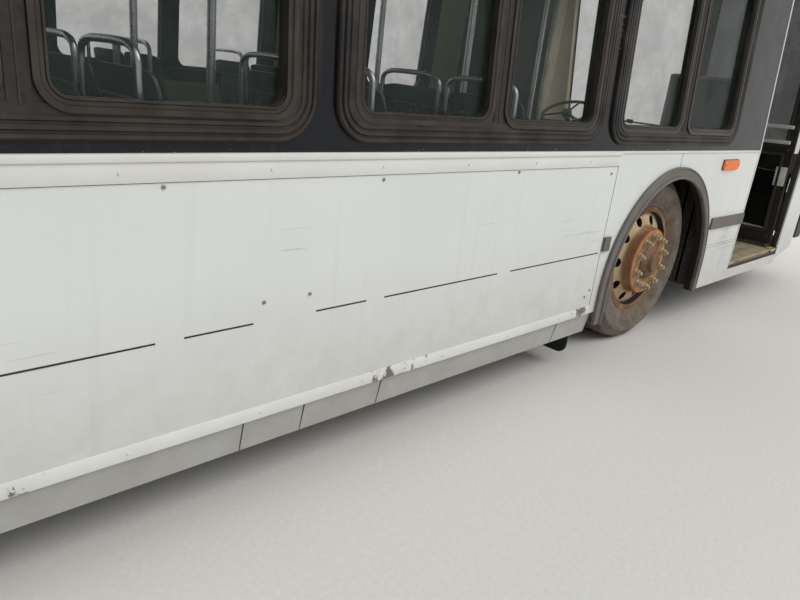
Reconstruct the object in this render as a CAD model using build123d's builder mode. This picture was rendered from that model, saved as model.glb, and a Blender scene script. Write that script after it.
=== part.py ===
from build123d import *
import os
from math import cos, radians, sin, tan

# A low-floor city bus. X runs forward, Y to the driver's side, Z up from the road, in millimetres.
# The right side, with the two passenger doors, is the side at negative Y.

# Body form
HALF_WIDTH = 1295
NOSE_X = 6110
TAIL_X = -6110
SILL_Z = 226
PANEL_BOTTOM_Z = 295
BELT_Z = 1092
WALL_TOP_Z = 2340
EAVES_Z = 2700
CROWN_Z = 2920
WALL = 45
SIDE_LEAN = 3.3
EAVES_R = 260
NOSE_BOW = 110
NOSE_CORNER_R = 400
TAIL_CORNER_R = 150
WINDSHIELD_RAKE = 9
WINDSHIELD_Z = 960
ROOF_FRONT_R = 420
ROOF_OVERHANG = 30
ROOF_REAR_R = 220

# Cutting forms: past the body's ends, past either side wall, one side wall from inside to outside, and the small
# overrun that carries a cut through a face
FAR = 7000
BEYOND = 1400
WALL_REACH = (900, BEYOND)
OVER = 10

# Where the body's panels meet along its length, and the open joint between two of them
NOSE_SEAM_X = 5374
TAIL_SEAM_X = -5450
FRONT_PANEL_SEAM_X = 2604
WALL_SEAMS = {-1: (FRONT_PANEL_SEAM_X,), 1: (FRONT_PANEL_SEAM_X, -2126)}
ROOF_SEAMS = (FRONT_PANEL_SEAM_X, 1196, -850, -2896, -4304)
SEAM = 4

# Running gear
FRONT_AXLE_X = 3274
REAR_AXLE_X = -2924
AXLES = (FRONT_AXLE_X, REAR_AXLE_X)
TYRE_R = 470
TYRE_HALF_WIDTH = 138
BEAD_R = 284
RIM_HALF_WIDTH = 106
DISC_FACE = 160
WHEEL_Y = 1082
KINGPIN_Y = 932
KINGPIN_R = 25
SPINDLE_R = 38
REAR_SPINDLE_R = 60
RUNNING_GAP = 0.06
TRACK_ARM = 180
TIE_ROD_Z = 185
TIE_EYE_Z = 335
TIE_CRANK_Y = 700

# Wheel arches and wheelhouses
ARCH_CENTRE_Z = 395
ARCH_CUT_R = 570
ARCH_OPENING_R = 555
ARCH_TRIM_R = 612
WHEELHOUSE_HALF = 620
WHEELHOUSE_TOP_Z = 1045
WHEELHOUSE_BOTTOM_Z = 240
WHEELHOUSE_T = 15
WHEELHOUSE_INNER_Y = {FRONT_AXLE_X: 560, REAR_AXLE_X: 590}

# Floor
FLOOR_Z = 340
FLOOR_T = 45
FLOOR_GAP = 0.5
TREAD_Z = 560
RAISED_FLOOR_Z = 780
PLATFORM_Z = 1180
STEP_X = -2160
STEP_RUN = 300
PLATFORM_X = -4880
BULKHEAD_X = -5440
INSIDE_Y = HALF_WIDTH - WALL

# Doorways, as (low X, high X), and the leaves' common sizes
FRONT_DOORWAY = (4404, 5374)
REAR_DOORWAY = (-2126, -776)
DOOR_T = 40
DOOR_TILT = 1.92
DOOR_BASE_Z = 350
DOOR_FOOT = 24
DOOR_HEIGHT = 1930
STILE = 62
HEADER_Z = (2335, 2500)

# Side windows: their pitch, the rubber frame's outer size and the two panes in it
WINDOW_PITCH = 1530
FIRST_WINDOW_X = 3189
WINDOW_Z = 1680
FRAME_SIZE = (1460, 1120)
FRAME_R = 120
PANE_SIZE = (580, 950)
PANE_R = 60
PANE_SHIFT = 345
DRIVER_WINDOW_X = 4860
DRIVER_FRAME_SIZE = (960, 1120)
DRIVER_PANE_SIZE = (780, 950)
RIGHT_WINDOWS = (0, 1, 2, 4, 5)
LEFT_WINDOWS = (0, 1, 2, 3, 4, 5)


def eaves_half(inset):
    """Half the body's width at the eaves, on a surface drawn in by inset."""
    return HALF_WIDTH - inset - (EAVES_Z - inset - BELT_Z) * tan(radians(SIDE_LEAN))


def nose_form(inset):
    """The bowed front with its round corners, upright to the windshield and raked above it."""
    half = HALF_WIDTH - inset
    tip = NOSE_X - inset
    rake = (-sin(radians(WINDSHIELD_RAKE)), 0, cos(radians(WINDSHIELD_RAKE)))
    with BuildPart() as nose:
        for base, length, direction in ((-OVER, WINDSHIELD_Z + OVER, (0, 0, 1)), (WINDSHIELD_Z, CROWN_Z, rake)):
            with BuildSketch(Plane.XY.offset(base)) as plan:
                with BuildLine():
                    bow = ThreePointArc((tip - NOSE_BOW, half), (tip, 0), (tip - NOSE_BOW, -half))
                    Polyline(bow @ 1, (-2 * FAR, -half), (-2 * FAR, half), bow @ 0)
                make_face()
                fillet(plan.vertices().filter_by(lambda v: v.X > 0), NOSE_CORNER_R - inset)
            extrude(amount=length, dir=direction)
    return nose.part


def body_form(inset):
    """The body as a closed form: its cross-section, rounded off at the nose, tail and roof ends."""
    half = HALF_WIDTH - inset
    eaves = eaves_half(inset)
    top = EAVES_Z - inset
    crown = CROWN_Z - inset
    bottom = 0 if inset > 0 else SILL_Z
    with BuildPart() as form:
        with BuildSketch(Plane.YZ.offset(-FAR)) as section:
            with BuildLine():
                roof = ThreePointArc((eaves, top), (0, crown), (-eaves, top))
                Polyline(roof @ 1, (-half, BELT_Z), (-half, bottom), (half, bottom), (half, BELT_Z), roof @ 0)
            make_face()
            fillet(section.vertices().filter_by(lambda v: abs(v.Y - top) < 1), EAVES_R - inset)
        extrude(amount=2 * FAR)
        add(nose_form(inset), mode=Mode.INTERSECT)
        with BuildSketch(Plane.XY.offset(-OVER)) as plan:
            with BuildLine():
                Polyline((FAR, half), (TAIL_X + inset, half), (TAIL_X + inset, -half), (FAR, -half), close=True)
            make_face()
            fillet(plan.vertices().filter_by(lambda v: v.X < 0), TAIL_CORNER_R - inset)
        extrude(amount=2 * CROWN_Z, mode=Mode.INTERSECT)
        front = NOSE_X - inset + ROOF_OVERHANG
        roof_front = front - (crown - WINDSHIELD_Z) * tan(radians(WINDSHIELD_RAKE))
        with BuildSketch(Plane.XZ.offset(-BEYOND)) as profile:
            with BuildLine():
                Polyline((TAIL_X + inset, -OVER), (TAIL_X + inset, crown), (roof_front, crown),
                         (front, WINDSHIELD_Z), (front, -OVER), close=True)
            make_face()
            corners = profile.vertices().filter_by(lambda v: v.Y > crown - 1)
            fillet(corners.sort_by(Axis.X)[-1], ROOF_FRONT_R - inset)
            corners = profile.vertices().filter_by(lambda v: v.Y > crown - 1)
            fillet(corners.sort_by(Axis.X)[0], ROOF_REAR_R - inset)
        extrude(amount=2 * BEYOND, mode=Mode.INTERSECT)
    return form.part


def skin(outside, inside):
    """A layer of the body between two insets; a negative inset stands proud of it."""
    with BuildPart() as layer:
        add(body_form(outside))
        add(body_form(inside), mode=Mode.SUBTRACT)
    return layer.part


def block(x, y, z, mode=Mode.ADD):
    """A block given as (low, high) along X, Y and Z."""
    with Locations(((x[0] + x[1]) / 2, (y[0] + y[1]) / 2, (z[0] + z[1]) / 2)):
        Box(x[1] - x[0], y[1] - y[0], z[1] - z[0], mode=mode)


def bar(start, end, radius, mode=Mode.ADD):
    """A round bar from one point to another."""
    run = Vector(*end) - Vector(*start)
    with BuildSketch(Plane(origin=start, z_dir=run)) as section:
        Circle(radius)
    extrude(section.sketch, amount=run.length, mode=mode)


def plane_point(plane, x, y, z):
    """A point given in a plane's own directions."""
    return tuple(plane.from_local_coords(Vector(x, y, z)))


def side_range(side, near, far):
    """A range along Y on one side of the bus, from two distances off its middle."""
    return tuple(sorted((side * near, side * far)))


def arch_face(radius, bottom, mode=Mode.ADD):
    """A wheel arch in X and Z about the axle: a half circle on two straight legs."""
    with BuildLine() as outline:
        top = ThreePointArc((-radius, ARCH_CENTRE_Z), (0, ARCH_CENTRE_Z + radius), (radius, ARCH_CENTRE_Z))
        Polyline(top @ 1, (radius, bottom), (-radius, bottom), top @ 0)
    make_face(outline.edges(), mode=mode)


def window_table(side):
    """Each window of a side as (centre X, frame size, pane size, the panes' shifts along X)."""
    indexes = RIGHT_WINDOWS if side < 0 else LEFT_WINDOWS
    rows = [(FIRST_WINDOW_X - WINDOW_PITCH * i, FRAME_SIZE, PANE_SIZE, (-PANE_SHIFT, PANE_SHIFT)) for i in indexes]
    if side > 0:
        rows.append((DRIVER_WINDOW_X, DRIVER_FRAME_SIZE, DRIVER_PANE_SIZE, (0,)))
    return rows


outer = body_form(0)
inner = body_form(WALL)
parts = {}

with BuildPart() as shell:
    add(outer)
    add(inner, mode=Mode.SUBTRACT)


# Lower walls: three panels a side with open joints, cut for the wheel arches and the doorways.
for side, name in ((-1, "lower_wall_right"), (1, "lower_wall_left")):
    reach = side_range(side, *WALL_REACH)
    with BuildPart() as lower_wall:
        add(shell.part)
        block((TAIL_SEAM_X, NOSE_SEAM_X), reach, (0, BELT_Z), Mode.INTERSECT)
        block((TAIL_SEAM_X - OVER, FRONT_AXLE_X), reach, (0, PANEL_BOTTOM_Z), Mode.SUBTRACT)
        for seam_x in WALL_SEAMS[side]:
            block((seam_x - SEAM / 2, seam_x + SEAM / 2), reach, (0, BELT_Z + OVER), Mode.SUBTRACT)
        for axle_x in AXLES:
            with BuildSketch(Plane(origin=(axle_x, 0, 0), x_dir=(1, 0, 0), z_dir=(0, -1, 0))):
                arch_face(ARCH_CUT_R, 0)
            extrude(amount=-side * BEYOND, mode=Mode.SUBTRACT)
        if side < 0:
            for doorway in (FRONT_DOORWAY, REAR_DOORWAY):
                block(doorway, reach, (PANEL_BOTTOM_Z, BELT_Z + OVER), Mode.SUBTRACT)
    parts[name] = lower_wall

# Window walls: the leaning band above the belt, with its window openings and doorways.
for side, name in ((-1, "window_wall_right"), (1, "window_wall_left")):
    reach = side_range(side, *WALL_REACH)
    with BuildPart() as window_wall:
        add(shell.part)
        block((TAIL_SEAM_X, NOSE_SEAM_X), reach, (BELT_Z, WALL_TOP_Z), Mode.INTERSECT)
        with BuildSketch(Plane.XZ):
            for centre_x, frame_size, pane_size, shifts in window_table(side):
                with Locations((centre_x, WINDOW_Z)):
                    RectangleRounded(*frame_size, FRAME_R)
        extrude(amount=-side * BEYOND, mode=Mode.SUBTRACT)
        if side < 0:
            for doorway in (FRONT_DOORWAY, REAR_DOORWAY):
                block(doorway, reach, (BELT_Z - OVER, WALL_TOP_Z + OVER), Mode.SUBTRACT)
    parts[name] = window_wall

# Window frames: proud rubber rings with a bar between the panes, and the panes themselves.
FRAME_PROUD = 8
FRAME_DEPTH = 34
GLASS_INSET = 16
GLASS_T = 6
for side_name, source, is_glass in (("window_frames", skin(-FRAME_PROUD, FRAME_DEPTH), False),
                                    ("side_glass", skin(GLASS_INSET, GLASS_INSET + GLASS_T), True)):
    with BuildPart() as glazing:
        for side in (-1, 1):
            with BuildSketch(Plane.XZ) as outline:
                for centre_x, frame_size, pane_size, shifts in window_table(side):
                    if not is_glass:
                        with Locations((centre_x, WINDOW_Z)):
                            RectangleRounded(*frame_size, FRAME_R)
                    with Locations([(centre_x + shift, WINDOW_Z) for shift in shifts]):
                        RectangleRounded(*pane_size, PANE_R, mode=Mode.ADD if is_glass else Mode.SUBTRACT)
            extrude(amount=-side * BEYOND)
        add(source, mode=Mode.INTERSECT)
    parts[side_name] = glazing

# Skirts: grey sills set back under the wall panels, leaning in towards the road.
SKIRT_Z = 180
SKIRT_TOP_Y = 1283
SKIRT_FOOT_Y = 1262
SKIRT_INNER_Y = 1240
SKIRTS = ((TAIL_SEAM_X, REAR_AXLE_X - WHEELHOUSE_HALF),
          (REAR_AXLE_X + WHEELHOUSE_HALF, FRONT_AXLE_X - WHEELHOUSE_HALF))
with BuildPart() as skirts:
    for side in (-1, 1):
        for low_x, high_x in SKIRTS:
            with BuildSketch(Plane.YZ.offset(low_x)):
                with BuildLine():
                    Polyline((side * SKIRT_TOP_Y, PANEL_BOTTOM_Z), (side * SKIRT_FOOT_Y, SKIRT_Z),
                             (side * SKIRT_INNER_Y, SKIRT_Z), (side * SKIRT_INNER_Y, PANEL_BOTTOM_Z), close=True)
                make_face()
            extrude(amount=high_x - low_x)
parts["skirts"] = skirts

# Rubber trims: the flares round the wheel arches, the rub rails on the panels and the front mud flaps.
RUB_RAIL_Z = (616, 685)
RUB_RAIL_PROUD = 12
ARCH_TRIM_PROUD = 15
RUB_RAILS = ((FRONT_PANEL_SEAM_X + SEAM, FRONT_AXLE_X - ARCH_TRIM_R), (FRONT_AXLE_X + ARCH_TRIM_R, FRONT_DOORWAY[0]),
             (TAIL_SEAM_X, REAR_AXLE_X - ARCH_TRIM_R))
MUD_FLAP = ((2566, 2574), (950, 1236), (60, 240))
MUD_FLAP_R = 50
with BuildPart() as rubber_trims:
    for side in (-1, 1):
        block(MUD_FLAP[0], side_range(side, *MUD_FLAP[1]), MUD_FLAP[2])
    fillet(rubber_trims.edges().filter_by(Axis.X).group_by(Axis.Z)[0], MUD_FLAP_R)
    for side in (-1, 1):
        for axle_x in AXLES:
            with BuildSketch(Plane(origin=(axle_x, side * HALF_WIDTH, 0), x_dir=(1, 0, 0), z_dir=(0, -1, 0))):
                arch_face(ARCH_TRIM_R, SILL_Z)
                arch_face(ARCH_OPENING_R, 0, Mode.SUBTRACT)
            extrude(amount=-side * ARCH_TRIM_PROUD)
        for low_x, high_x in RUB_RAILS:
            block((low_x, high_x), side_range(side, HALF_WIDTH, HALF_WIDTH + RUB_RAIL_PROUD), RUB_RAIL_Z)
parts["rubber_trims"] = rubber_trims

# Roof: cambered panels between nose and tail, joined crosswise, two of them with an escape hatch opening.
HATCHES = (("hatch_front", 1900), ("hatch_rear", -3600))
HATCH_HOLE = 560
HATCH_SIZE = 660
HATCH_R = 40
HATCH_LIFT = 6
HATCH_TOP = 48
HATCH_REACH = 300
HATCH_BARREL_R = 5
HATCH_BARREL_Y = (60, 180)
with BuildPart() as roof:
    add(shell.part)
    block((TAIL_SEAM_X, NOSE_SEAM_X), (-BEYOND, BEYOND), (WALL_TOP_Z, CROWN_Z + OVER), Mode.INTERSECT)
    for seam_x in ROOF_SEAMS:
        block((seam_x - SEAM / 2, seam_x + SEAM / 2), (-BEYOND, BEYOND), (WALL_TOP_Z - OVER, CROWN_Z + OVER),
              Mode.SUBTRACT)
    for name, hatch_x in HATCHES:
        with Locations((hatch_x, 0, CROWN_Z)):
            Box(HATCH_HOLE, HATCH_HOLE, HATCH_REACH, mode=Mode.SUBTRACT)
parts["roof"] = roof

hatch_layer = skin(-HATCH_TOP, -HATCH_LIFT)
for name, hatch_x in HATCHES:
    hinge_x = hatch_x + HATCH_SIZE / 2
    hinge_z = CROWN_Z + HATCH_LIFT
    with BuildPart() as hatch:
        with BuildSketch(Plane.XY.offset(CROWN_Z - HATCH_REACH / 2)):
            with Locations((hatch_x, 0)):
                RectangleRounded(HATCH_SIZE, HATCH_SIZE, HATCH_R)
        extrude(amount=HATCH_REACH)
        add(hatch_layer, mode=Mode.INTERSECT)
        for side in (-1, 1):
            near, far = side_range(side, *HATCH_BARREL_Y)
            bar((hinge_x, near, hinge_z), (hinge_x, far, hinge_z), HATCH_BARREL_R)
    parts[name] = hatch

# Front cap: the moulded nose, cut for the windshield, the destination sign and the headlamps.
SHIELD_Z = (1010, 2260)
SHIELD_Y = (12, 1140)
SHIELD_R = 110
SHIELD_INSET = 8
SHIELD_T = 8
SIGN_Z = (2350, 2600)
SIGN_HALF = 720
SIGN_R = 50
HEADLAMP_Y = 900
HEADLAMP_Z = 770
HEADLAMP_SIZE = (380, 190)
HEADLAMP_R = 60
HEADLAMP_PROUD = 3
HEADLAMP_DEPTH = 42
SCREEN_BASE_X = NOSE_SEAM_X + 60
SCREEN_REACH = 1500
# The nose's underside in X and Z, rising from the seam to the front so that the bus clears a kerb
UNDERCUT = ((5314, 0), (5314, 236), (NOSE_SEAM_X, 254), (5920, 377), (6300, 400), (6300, 0))


def screen_outline():
    """The windshield's two halves and the sign's glass, in Y and Z."""
    for side in (-1, 1):
        with Locations((side * sum(SHIELD_Y) / 2, sum(SHIELD_Z) / 2)):
            RectangleRounded(SHIELD_Y[1] - SHIELD_Y[0], SHIELD_Z[1] - SHIELD_Z[0], SHIELD_R)
    with Locations((0, sum(SIGN_Z) / 2)):
        RectangleRounded(2 * SIGN_HALF, SIGN_Z[1] - SIGN_Z[0], SIGN_R)


def headlamp_outline():
    """The two headlamp openings, in Y and Z."""
    for side in (-1, 1):
        with Locations((side * HEADLAMP_Y, HEADLAMP_Z)):
            RectangleRounded(*HEADLAMP_SIZE, HEADLAMP_R)


with BuildPart() as front_cap:
    add(shell.part)
    block((NOSE_SEAM_X, FAR), (-BEYOND, BEYOND), (0, CROWN_Z + OVER), Mode.INTERSECT)
    with BuildSketch(Plane.YZ.offset(SCREEN_BASE_X)):
        screen_outline()
        headlamp_outline()
    extrude(amount=SCREEN_REACH, mode=Mode.SUBTRACT)
    with BuildSketch(Plane.XZ.offset(-BEYOND)):
        with BuildLine():
            Polyline(*UNDERCUT, close=True)
        make_face()
    extrude(amount=2 * BEYOND, mode=Mode.SUBTRACT)
parts["front_cap"] = front_cap

with BuildPart() as windshield:
    with BuildSketch(Plane.YZ.offset(SCREEN_BASE_X)):
        screen_outline()
    extrude(amount=SCREEN_REACH)
    add(skin(SHIELD_INSET, SHIELD_INSET + SHIELD_T), mode=Mode.INTERSECT)
parts["windshield"] = windshield

with BuildPart() as headlamps:
    with BuildSketch(Plane.YZ.offset(SCREEN_BASE_X)):
        headlamp_outline()
    extrude(amount=SCREEN_REACH)
    add(skin(-HEADLAMP_PROUD, HEADLAMP_DEPTH), mode=Mode.INTERSECT)
parts["headlamps"] = headlamps

# Bumpers: deep mouldings that follow the corners, front and rear.
BUMPER_Z = (385, 620)
BUMPER_PROUD = 64
BUMPER_HALF = 1290
BETWEEN_BUMPERS = (-6020, 5780)
with BuildPart() as bumpers:
    add(skin(-BUMPER_PROUD, 0))
    block((-FAR, FAR), (-BUMPER_HALF, BUMPER_HALF), BUMPER_Z, Mode.INTERSECT)
    block(BETWEEN_BUMPERS, (-BEYOND, BEYOND), BUMPER_Z, Mode.SUBTRACT)
parts["bumpers"] = bumpers

# Rear cap: the tail with its engine door opening, air intake grille and tail lamps.
ENGINE_DOOR_Z = (650, 1500)
ENGINE_DOOR_HALF = 860
GRILLE_Z = (1780, 2380)
GRILLE_HALF = 820
REAR_OPENING_R = 40
REAR_CUT_X = -6000
REAR_CUT = 400
DOOR_GAP = 8
DOOR_R = 34
HINGE_BARREL_R = 6
HINGE_BARREL_Y = (520, 720)
TAIL_LAMP_Y = 1050
TAIL_LAMPS = (760, 930, 1100)
TAIL_LAMP_R = 62
TAIL_LAMP_PROUD = 8
with BuildPart() as rear_cap:
    add(shell.part)
    block((-FAR, TAIL_SEAM_X), (-BEYOND, BEYOND), (0, CROWN_Z + OVER), Mode.INTERSECT)
    block((-FAR, TAIL_SEAM_X + OVER), (-BEYOND, BEYOND), (0, PANEL_BOTTOM_Z), Mode.SUBTRACT)
    with BuildSketch(Plane.YZ.offset(REAR_CUT_X)):
        with Locations((0, sum(ENGINE_DOOR_Z) / 2)):
            RectangleRounded(2 * ENGINE_DOOR_HALF, ENGINE_DOOR_Z[1] - ENGINE_DOOR_Z[0], REAR_OPENING_R)
        with Locations((0, sum(GRILLE_Z) / 2)):
            RectangleRounded(2 * GRILLE_HALF, GRILLE_Z[1] - GRILLE_Z[0], REAR_OPENING_R)
        with Locations([(side * TAIL_LAMP_Y, z) for side in (-1, 1) for z in TAIL_LAMPS]):
            Circle(TAIL_LAMP_R)
    extrude(amount=-REAR_CUT, mode=Mode.SUBTRACT)
parts["rear_cap"] = rear_cap

with BuildPart() as tail_lamps:
    with BuildSketch(Plane.YZ.offset(TAIL_X - TAIL_LAMP_PROUD)):
        with Locations([(side * TAIL_LAMP_Y, z) for side in (-1, 1) for z in TAIL_LAMPS]):
            Circle(TAIL_LAMP_R)
    extrude(amount=WALL)
parts["tail_lamps"] = tail_lamps

with BuildPart() as engine_door:
    with BuildSketch(Plane.YZ.offset(TAIL_X)):
        with Locations((0, sum(ENGINE_DOOR_Z) / 2)):
            RectangleRounded(2 * ENGINE_DOOR_HALF - 2 * DOOR_GAP, ENGINE_DOOR_Z[1] - ENGINE_DOOR_Z[0] - 2 * DOOR_GAP,
                             DOOR_R)
    extrude(amount=WALL)
    hinge_z = ENGINE_DOOR_Z[1] - DOOR_GAP
    for side in (-1, 1):
        near, far = side_range(side, *HINGE_BARREL_Y)
        bar((TAIL_X, near, hinge_z), (TAIL_X, far, hinge_z), HINGE_BARREL_R)
parts["engine_door"] = engine_door

# The air intake's slats slope down to the outside; three posts carry them, the middle one from sill to top.
GRILLE_SLATS = 9
SLAT_PROFILE = ((0, -22), (36, 14), (36, 24), (0, -12))
SLAT_END_GAP = 18
GRILLE_POSTS = (
    # Y of the post's middle, low and high X inside the tail, gap to the opening above and below
    (-GRILLE_HALF + 14, 2, 38, 45),
    (0, 2, 38, 45),
    (GRILLE_HALF - 14, 2, 38, 45),
    (0, 30, 38, 0),
)
GRILLE_POST_HALF = 6
with BuildPart() as rear_grille:
    pitch = (GRILLE_Z[1] - GRILLE_Z[0]) / GRILLE_SLATS
    for slat in range(GRILLE_SLATS):
        middle_z = GRILLE_Z[0] + pitch * (slat + 0.5)
        slat_plane = Plane(origin=(TAIL_X, GRILLE_HALF - SLAT_END_GAP, middle_z), x_dir=(1, 0, 0), z_dir=(0, -1, 0))
        with BuildSketch(slat_plane):
            with BuildLine():
                Polyline(*SLAT_PROFILE, close=True)
            make_face()
        extrude(amount=2 * (GRILLE_HALF - SLAT_END_GAP))
    for post_y, low_x, high_x, gap in GRILLE_POSTS:
        block((TAIL_X + low_x, TAIL_X + high_x), (post_y - GRILLE_POST_HALF, post_y + GRILLE_POST_HALF),
              (GRILLE_Z[0] + gap, GRILLE_Z[1] - gap))
parts["rear_grille"] = rear_grille

# Marker lamps: amber, on the side panels, as (X, Z).
MARKER_SIZE = (223, 54)
MARKER_R = 12
MARKER_PROUD = 14
MARKERS = ((3952, 1009), (-5250, 1009))
with BuildPart() as marker_lamps:
    for side in (-1, 1):
        with BuildSketch(Plane(origin=(0, side * HALF_WIDTH, 0), x_dir=(1, 0, 0), z_dir=(0, -1, 0))):
            with Locations(*MARKERS):
                RectangleRounded(*MARKER_SIZE, MARKER_R)
        extrude(amount=-side * MARKER_PROUD)
parts["marker_lamps"] = marker_lamps

# Wheelhouses: thin boxes over the wheels, open towards the road and the arch, slotted for the rear axle.
AXLE_SLOT = (120, (580, 610), (0, 600))
with BuildPart() as wheelhouses:
    for side in (-1, 1):
        for axle_x in AXLES:
            near = WHEELHOUSE_INNER_Y[axle_x]
            half = WHEELHOUSE_HALF
            block((axle_x - half, axle_x + half), side_range(side, near, INSIDE_Y),
                  (WHEELHOUSE_BOTTOM_Z, WHEELHOUSE_TOP_Z))
            half -= WHEELHOUSE_T
            block((axle_x - half, axle_x + half), side_range(side, near + WHEELHOUSE_T, INSIDE_Y + OVER),
                  (0, WHEELHOUSE_TOP_Z - WHEELHOUSE_T), Mode.SUBTRACT)
        block((REAR_AXLE_X - AXLE_SLOT[0], REAR_AXLE_X + AXLE_SLOT[0]), side_range(side, *AXLE_SLOT[1]), AXLE_SLOT[2],
              Mode.SUBTRACT)
parts["wheelhouses"] = wheelhouses

# Floor: the low deck, two steps, the raised rear deck, the engine platform and the rear bulkhead.
RAMP_X = (4524, 5254)
RAMP_Y = (-1280, -310)
RAMP_T = 24
RAMP_GAP = 5
RAMP_BED_GAP = 2
RAMP_R = 40
RAMP_TONGUE = 3
RAMP_HINGE = (-1287, 338)
RAMP_BARREL_R = 6
SILL_Y = (-1290, -1240)
FLOOR_PLATES = (
    ((STEP_X, FAR), (FLOOR_Z - FLOOR_T, FLOOR_Z)),
    ((STEP_X - FLOOR_T, STEP_X), (FLOOR_Z - FLOOR_T, TREAD_Z)),
    ((STEP_X - STEP_RUN, STEP_X), (TREAD_Z - FLOOR_T, TREAD_Z)),
    ((STEP_X - STEP_RUN - FLOOR_T, STEP_X - STEP_RUN), (TREAD_Z - FLOOR_T, RAISED_FLOOR_Z)),
    ((PLATFORM_X, STEP_X - STEP_RUN), (RAISED_FLOOR_Z - FLOOR_T, RAISED_FLOOR_Z)),
    ((PLATFORM_X - FLOOR_T, PLATFORM_X), (RAISED_FLOOR_Z - FLOOR_T, PLATFORM_Z)),
    ((BULKHEAD_X - FLOOR_T, PLATFORM_X), (PLATFORM_Z - FLOOR_T, PLATFORM_Z)),
    ((BULKHEAD_X - FLOOR_T, BULKHEAD_X), (PLATFORM_Z - FLOOR_T, CROWN_Z)),
)
with BuildPart() as floor_deck:
    for x_range, z_range in FLOOR_PLATES:
        block(x_range, (-HALF_WIDTH, HALF_WIDTH), z_range)
    add(body_form(WALL + FLOOR_GAP), mode=Mode.INTERSECT)
    for doorway in (FRONT_DOORWAY, REAR_DOORWAY):
        block(doorway, SILL_Y, (FLOOR_Z - FLOOR_T, FLOOR_Z))
    for side in (-1, 1):
        for axle_x in AXLES:
            block((axle_x - WHEELHOUSE_HALF, axle_x + WHEELHOUSE_HALF),
                  side_range(side, WHEELHOUSE_INNER_Y[axle_x], HALF_WIDTH), (0, WHEELHOUSE_TOP_Z), Mode.SUBTRACT)
    block((RAMP_X[0] - RAMP_GAP, RAMP_X[1] + RAMP_GAP), (-HALF_WIDTH, RAMP_Y[1] + RAMP_GAP),
          (FLOOR_Z - RAMP_T - RAMP_BED_GAP, FLOOR_Z + OVER), Mode.SUBTRACT)
parts["floor_deck"] = floor_deck

with BuildPart() as ramp:
    block(RAMP_X, RAMP_Y, (FLOOR_Z - RAMP_T, FLOOR_Z))
    fillet(ramp.edges().filter_by(Axis.Z).sort_by(Axis.Y)[-2:], RAMP_R)
    block(RAMP_X, (RAMP_HINGE[0], RAMP_Y[0] + RAMP_GAP), (FLOOR_Z - RAMP_TONGUE, FLOOR_Z))
    bar((RAMP_X[0], *RAMP_HINGE), (RAMP_X[1], *RAMP_HINGE), RAMP_BARREL_R)
parts["ramp"] = ramp

# Underframe: two long rails that climb over the rear axle, cross members, and the towing eyes.
RAIL_Y = (380, 460)
RAIL_Z = (240, 295)
REAR_RAIL_Z = (610, 690)
RAIL_PROFILE = ((5900, RAIL_Z[0]), (5900, RAIL_Z[1]), (-2280, RAIL_Z[1]), (-2510, 500), (-2560, REAR_RAIL_Z[1]),
                (-5900, REAR_RAIL_Z[1]), (-5900, REAR_RAIL_Z[0]), (-2620, REAR_RAIL_Z[0]), (-2560, 480),
                (-2320, RAIL_Z[0]))
CROSS_MEMBERS = (
    # X of the member's middle, half its length in X, half its reach in Y, low Z, high Z
    *[(x, 30, 1240, *RAIL_Z) for x in (4860, 4130, 2570, 1900, 1230, 560, -110, -780, -1450, -2060)],
    *[(x, 40, 1240, 640, RAISED_FLOOR_Z - FLOOR_T) for x in (-3650, -4300)],
    (FRONT_AXLE_X, 60, RAIL_Y[1], *RAIL_Z),
    (5870, 30, 620, *RAIL_Z),
    (-5870, 30, 620, *REAR_RAIL_Z),
)
ENGINE_BRACKETS = (-5100, -5650)
ENGINE_BRACKET_HALF = 40
ENGINE_BRACKET_Z = (620, 680)
JACK_PADS = (2250, -1750)
JACK_PAD_SIZE = (140, 80, 15)
TOW_EYE_R = 30
TOW_EYE_T = 50
TOW_EYE_DEPTH = 52
TOW_EYES = (
    # X of the eye, low and high X of its plate, Z of the eye, Z of the plate's top
    (6010, 5860, 6065, 240, RAIL_Z[1]),
    (-6000, -6055, -5890, 250, 650),
)
ENGINE_HALF = 340
with BuildPart() as underframe:
    for side in (-1, 1):
        with BuildSketch(Plane(origin=(0, side * RAIL_Y[0], 0), x_dir=(1, 0, 0), z_dir=(0, -1, 0))):
            with BuildLine():
                Polyline(*RAIL_PROFILE, close=True)
            make_face()
        extrude(amount=-side * (RAIL_Y[1] - RAIL_Y[0]))
    for member_x, half, reach, low_z, high_z in CROSS_MEMBERS:
        block((member_x - half, member_x + half), (-reach, reach), (low_z, high_z))
    for side in (-1, 1):
        for bracket_x in ENGINE_BRACKETS:
            block((bracket_x - ENGINE_BRACKET_HALF, bracket_x + ENGINE_BRACKET_HALF),
                  side_range(side, ENGINE_HALF, RAIL_Y[0]), ENGINE_BRACKET_Z)
    with Locations([(x, side * sum(RAIL_Y) / 2, RAIL_Z[0] - JACK_PAD_SIZE[2] / 2) for x in JACK_PADS
                    for side in (-1, 1)]):
        Box(*JACK_PAD_SIZE)
    for eye_x, low_x, high_x, eye_z, top_z in TOW_EYES:
        for side in (-1, 1):
            plate = side_range(side, RAIL_Y[0], RAIL_Y[0] + TOW_EYE_T)
            block((low_x, high_x), plate, (eye_z - TOW_EYE_DEPTH, top_z))
            bar((eye_x, plate[0] - OVER, eye_z), (eye_x, plate[1] + OVER, eye_z), TOW_EYE_R, Mode.SUBTRACT)
parts["underframe"] = underframe

# Engine: one block under the rear platform, on brackets from the rails.
ENGINE = ((-5820, -4950), (-ENGINE_HALF, ENGINE_HALF), (400, 1080))
with BuildPart() as engine:
    block(*ENGINE)
parts["engine"] = engine

# Front axle: a forged beam, dropped under the low floor, with an eye for each kingpin.
AXLE_Z = TYRE_R
BEAM_LOW_Z = (130, 230)
BEAM_END_Z = (AXLE_Z - 50, AXLE_Z + 50)
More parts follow.
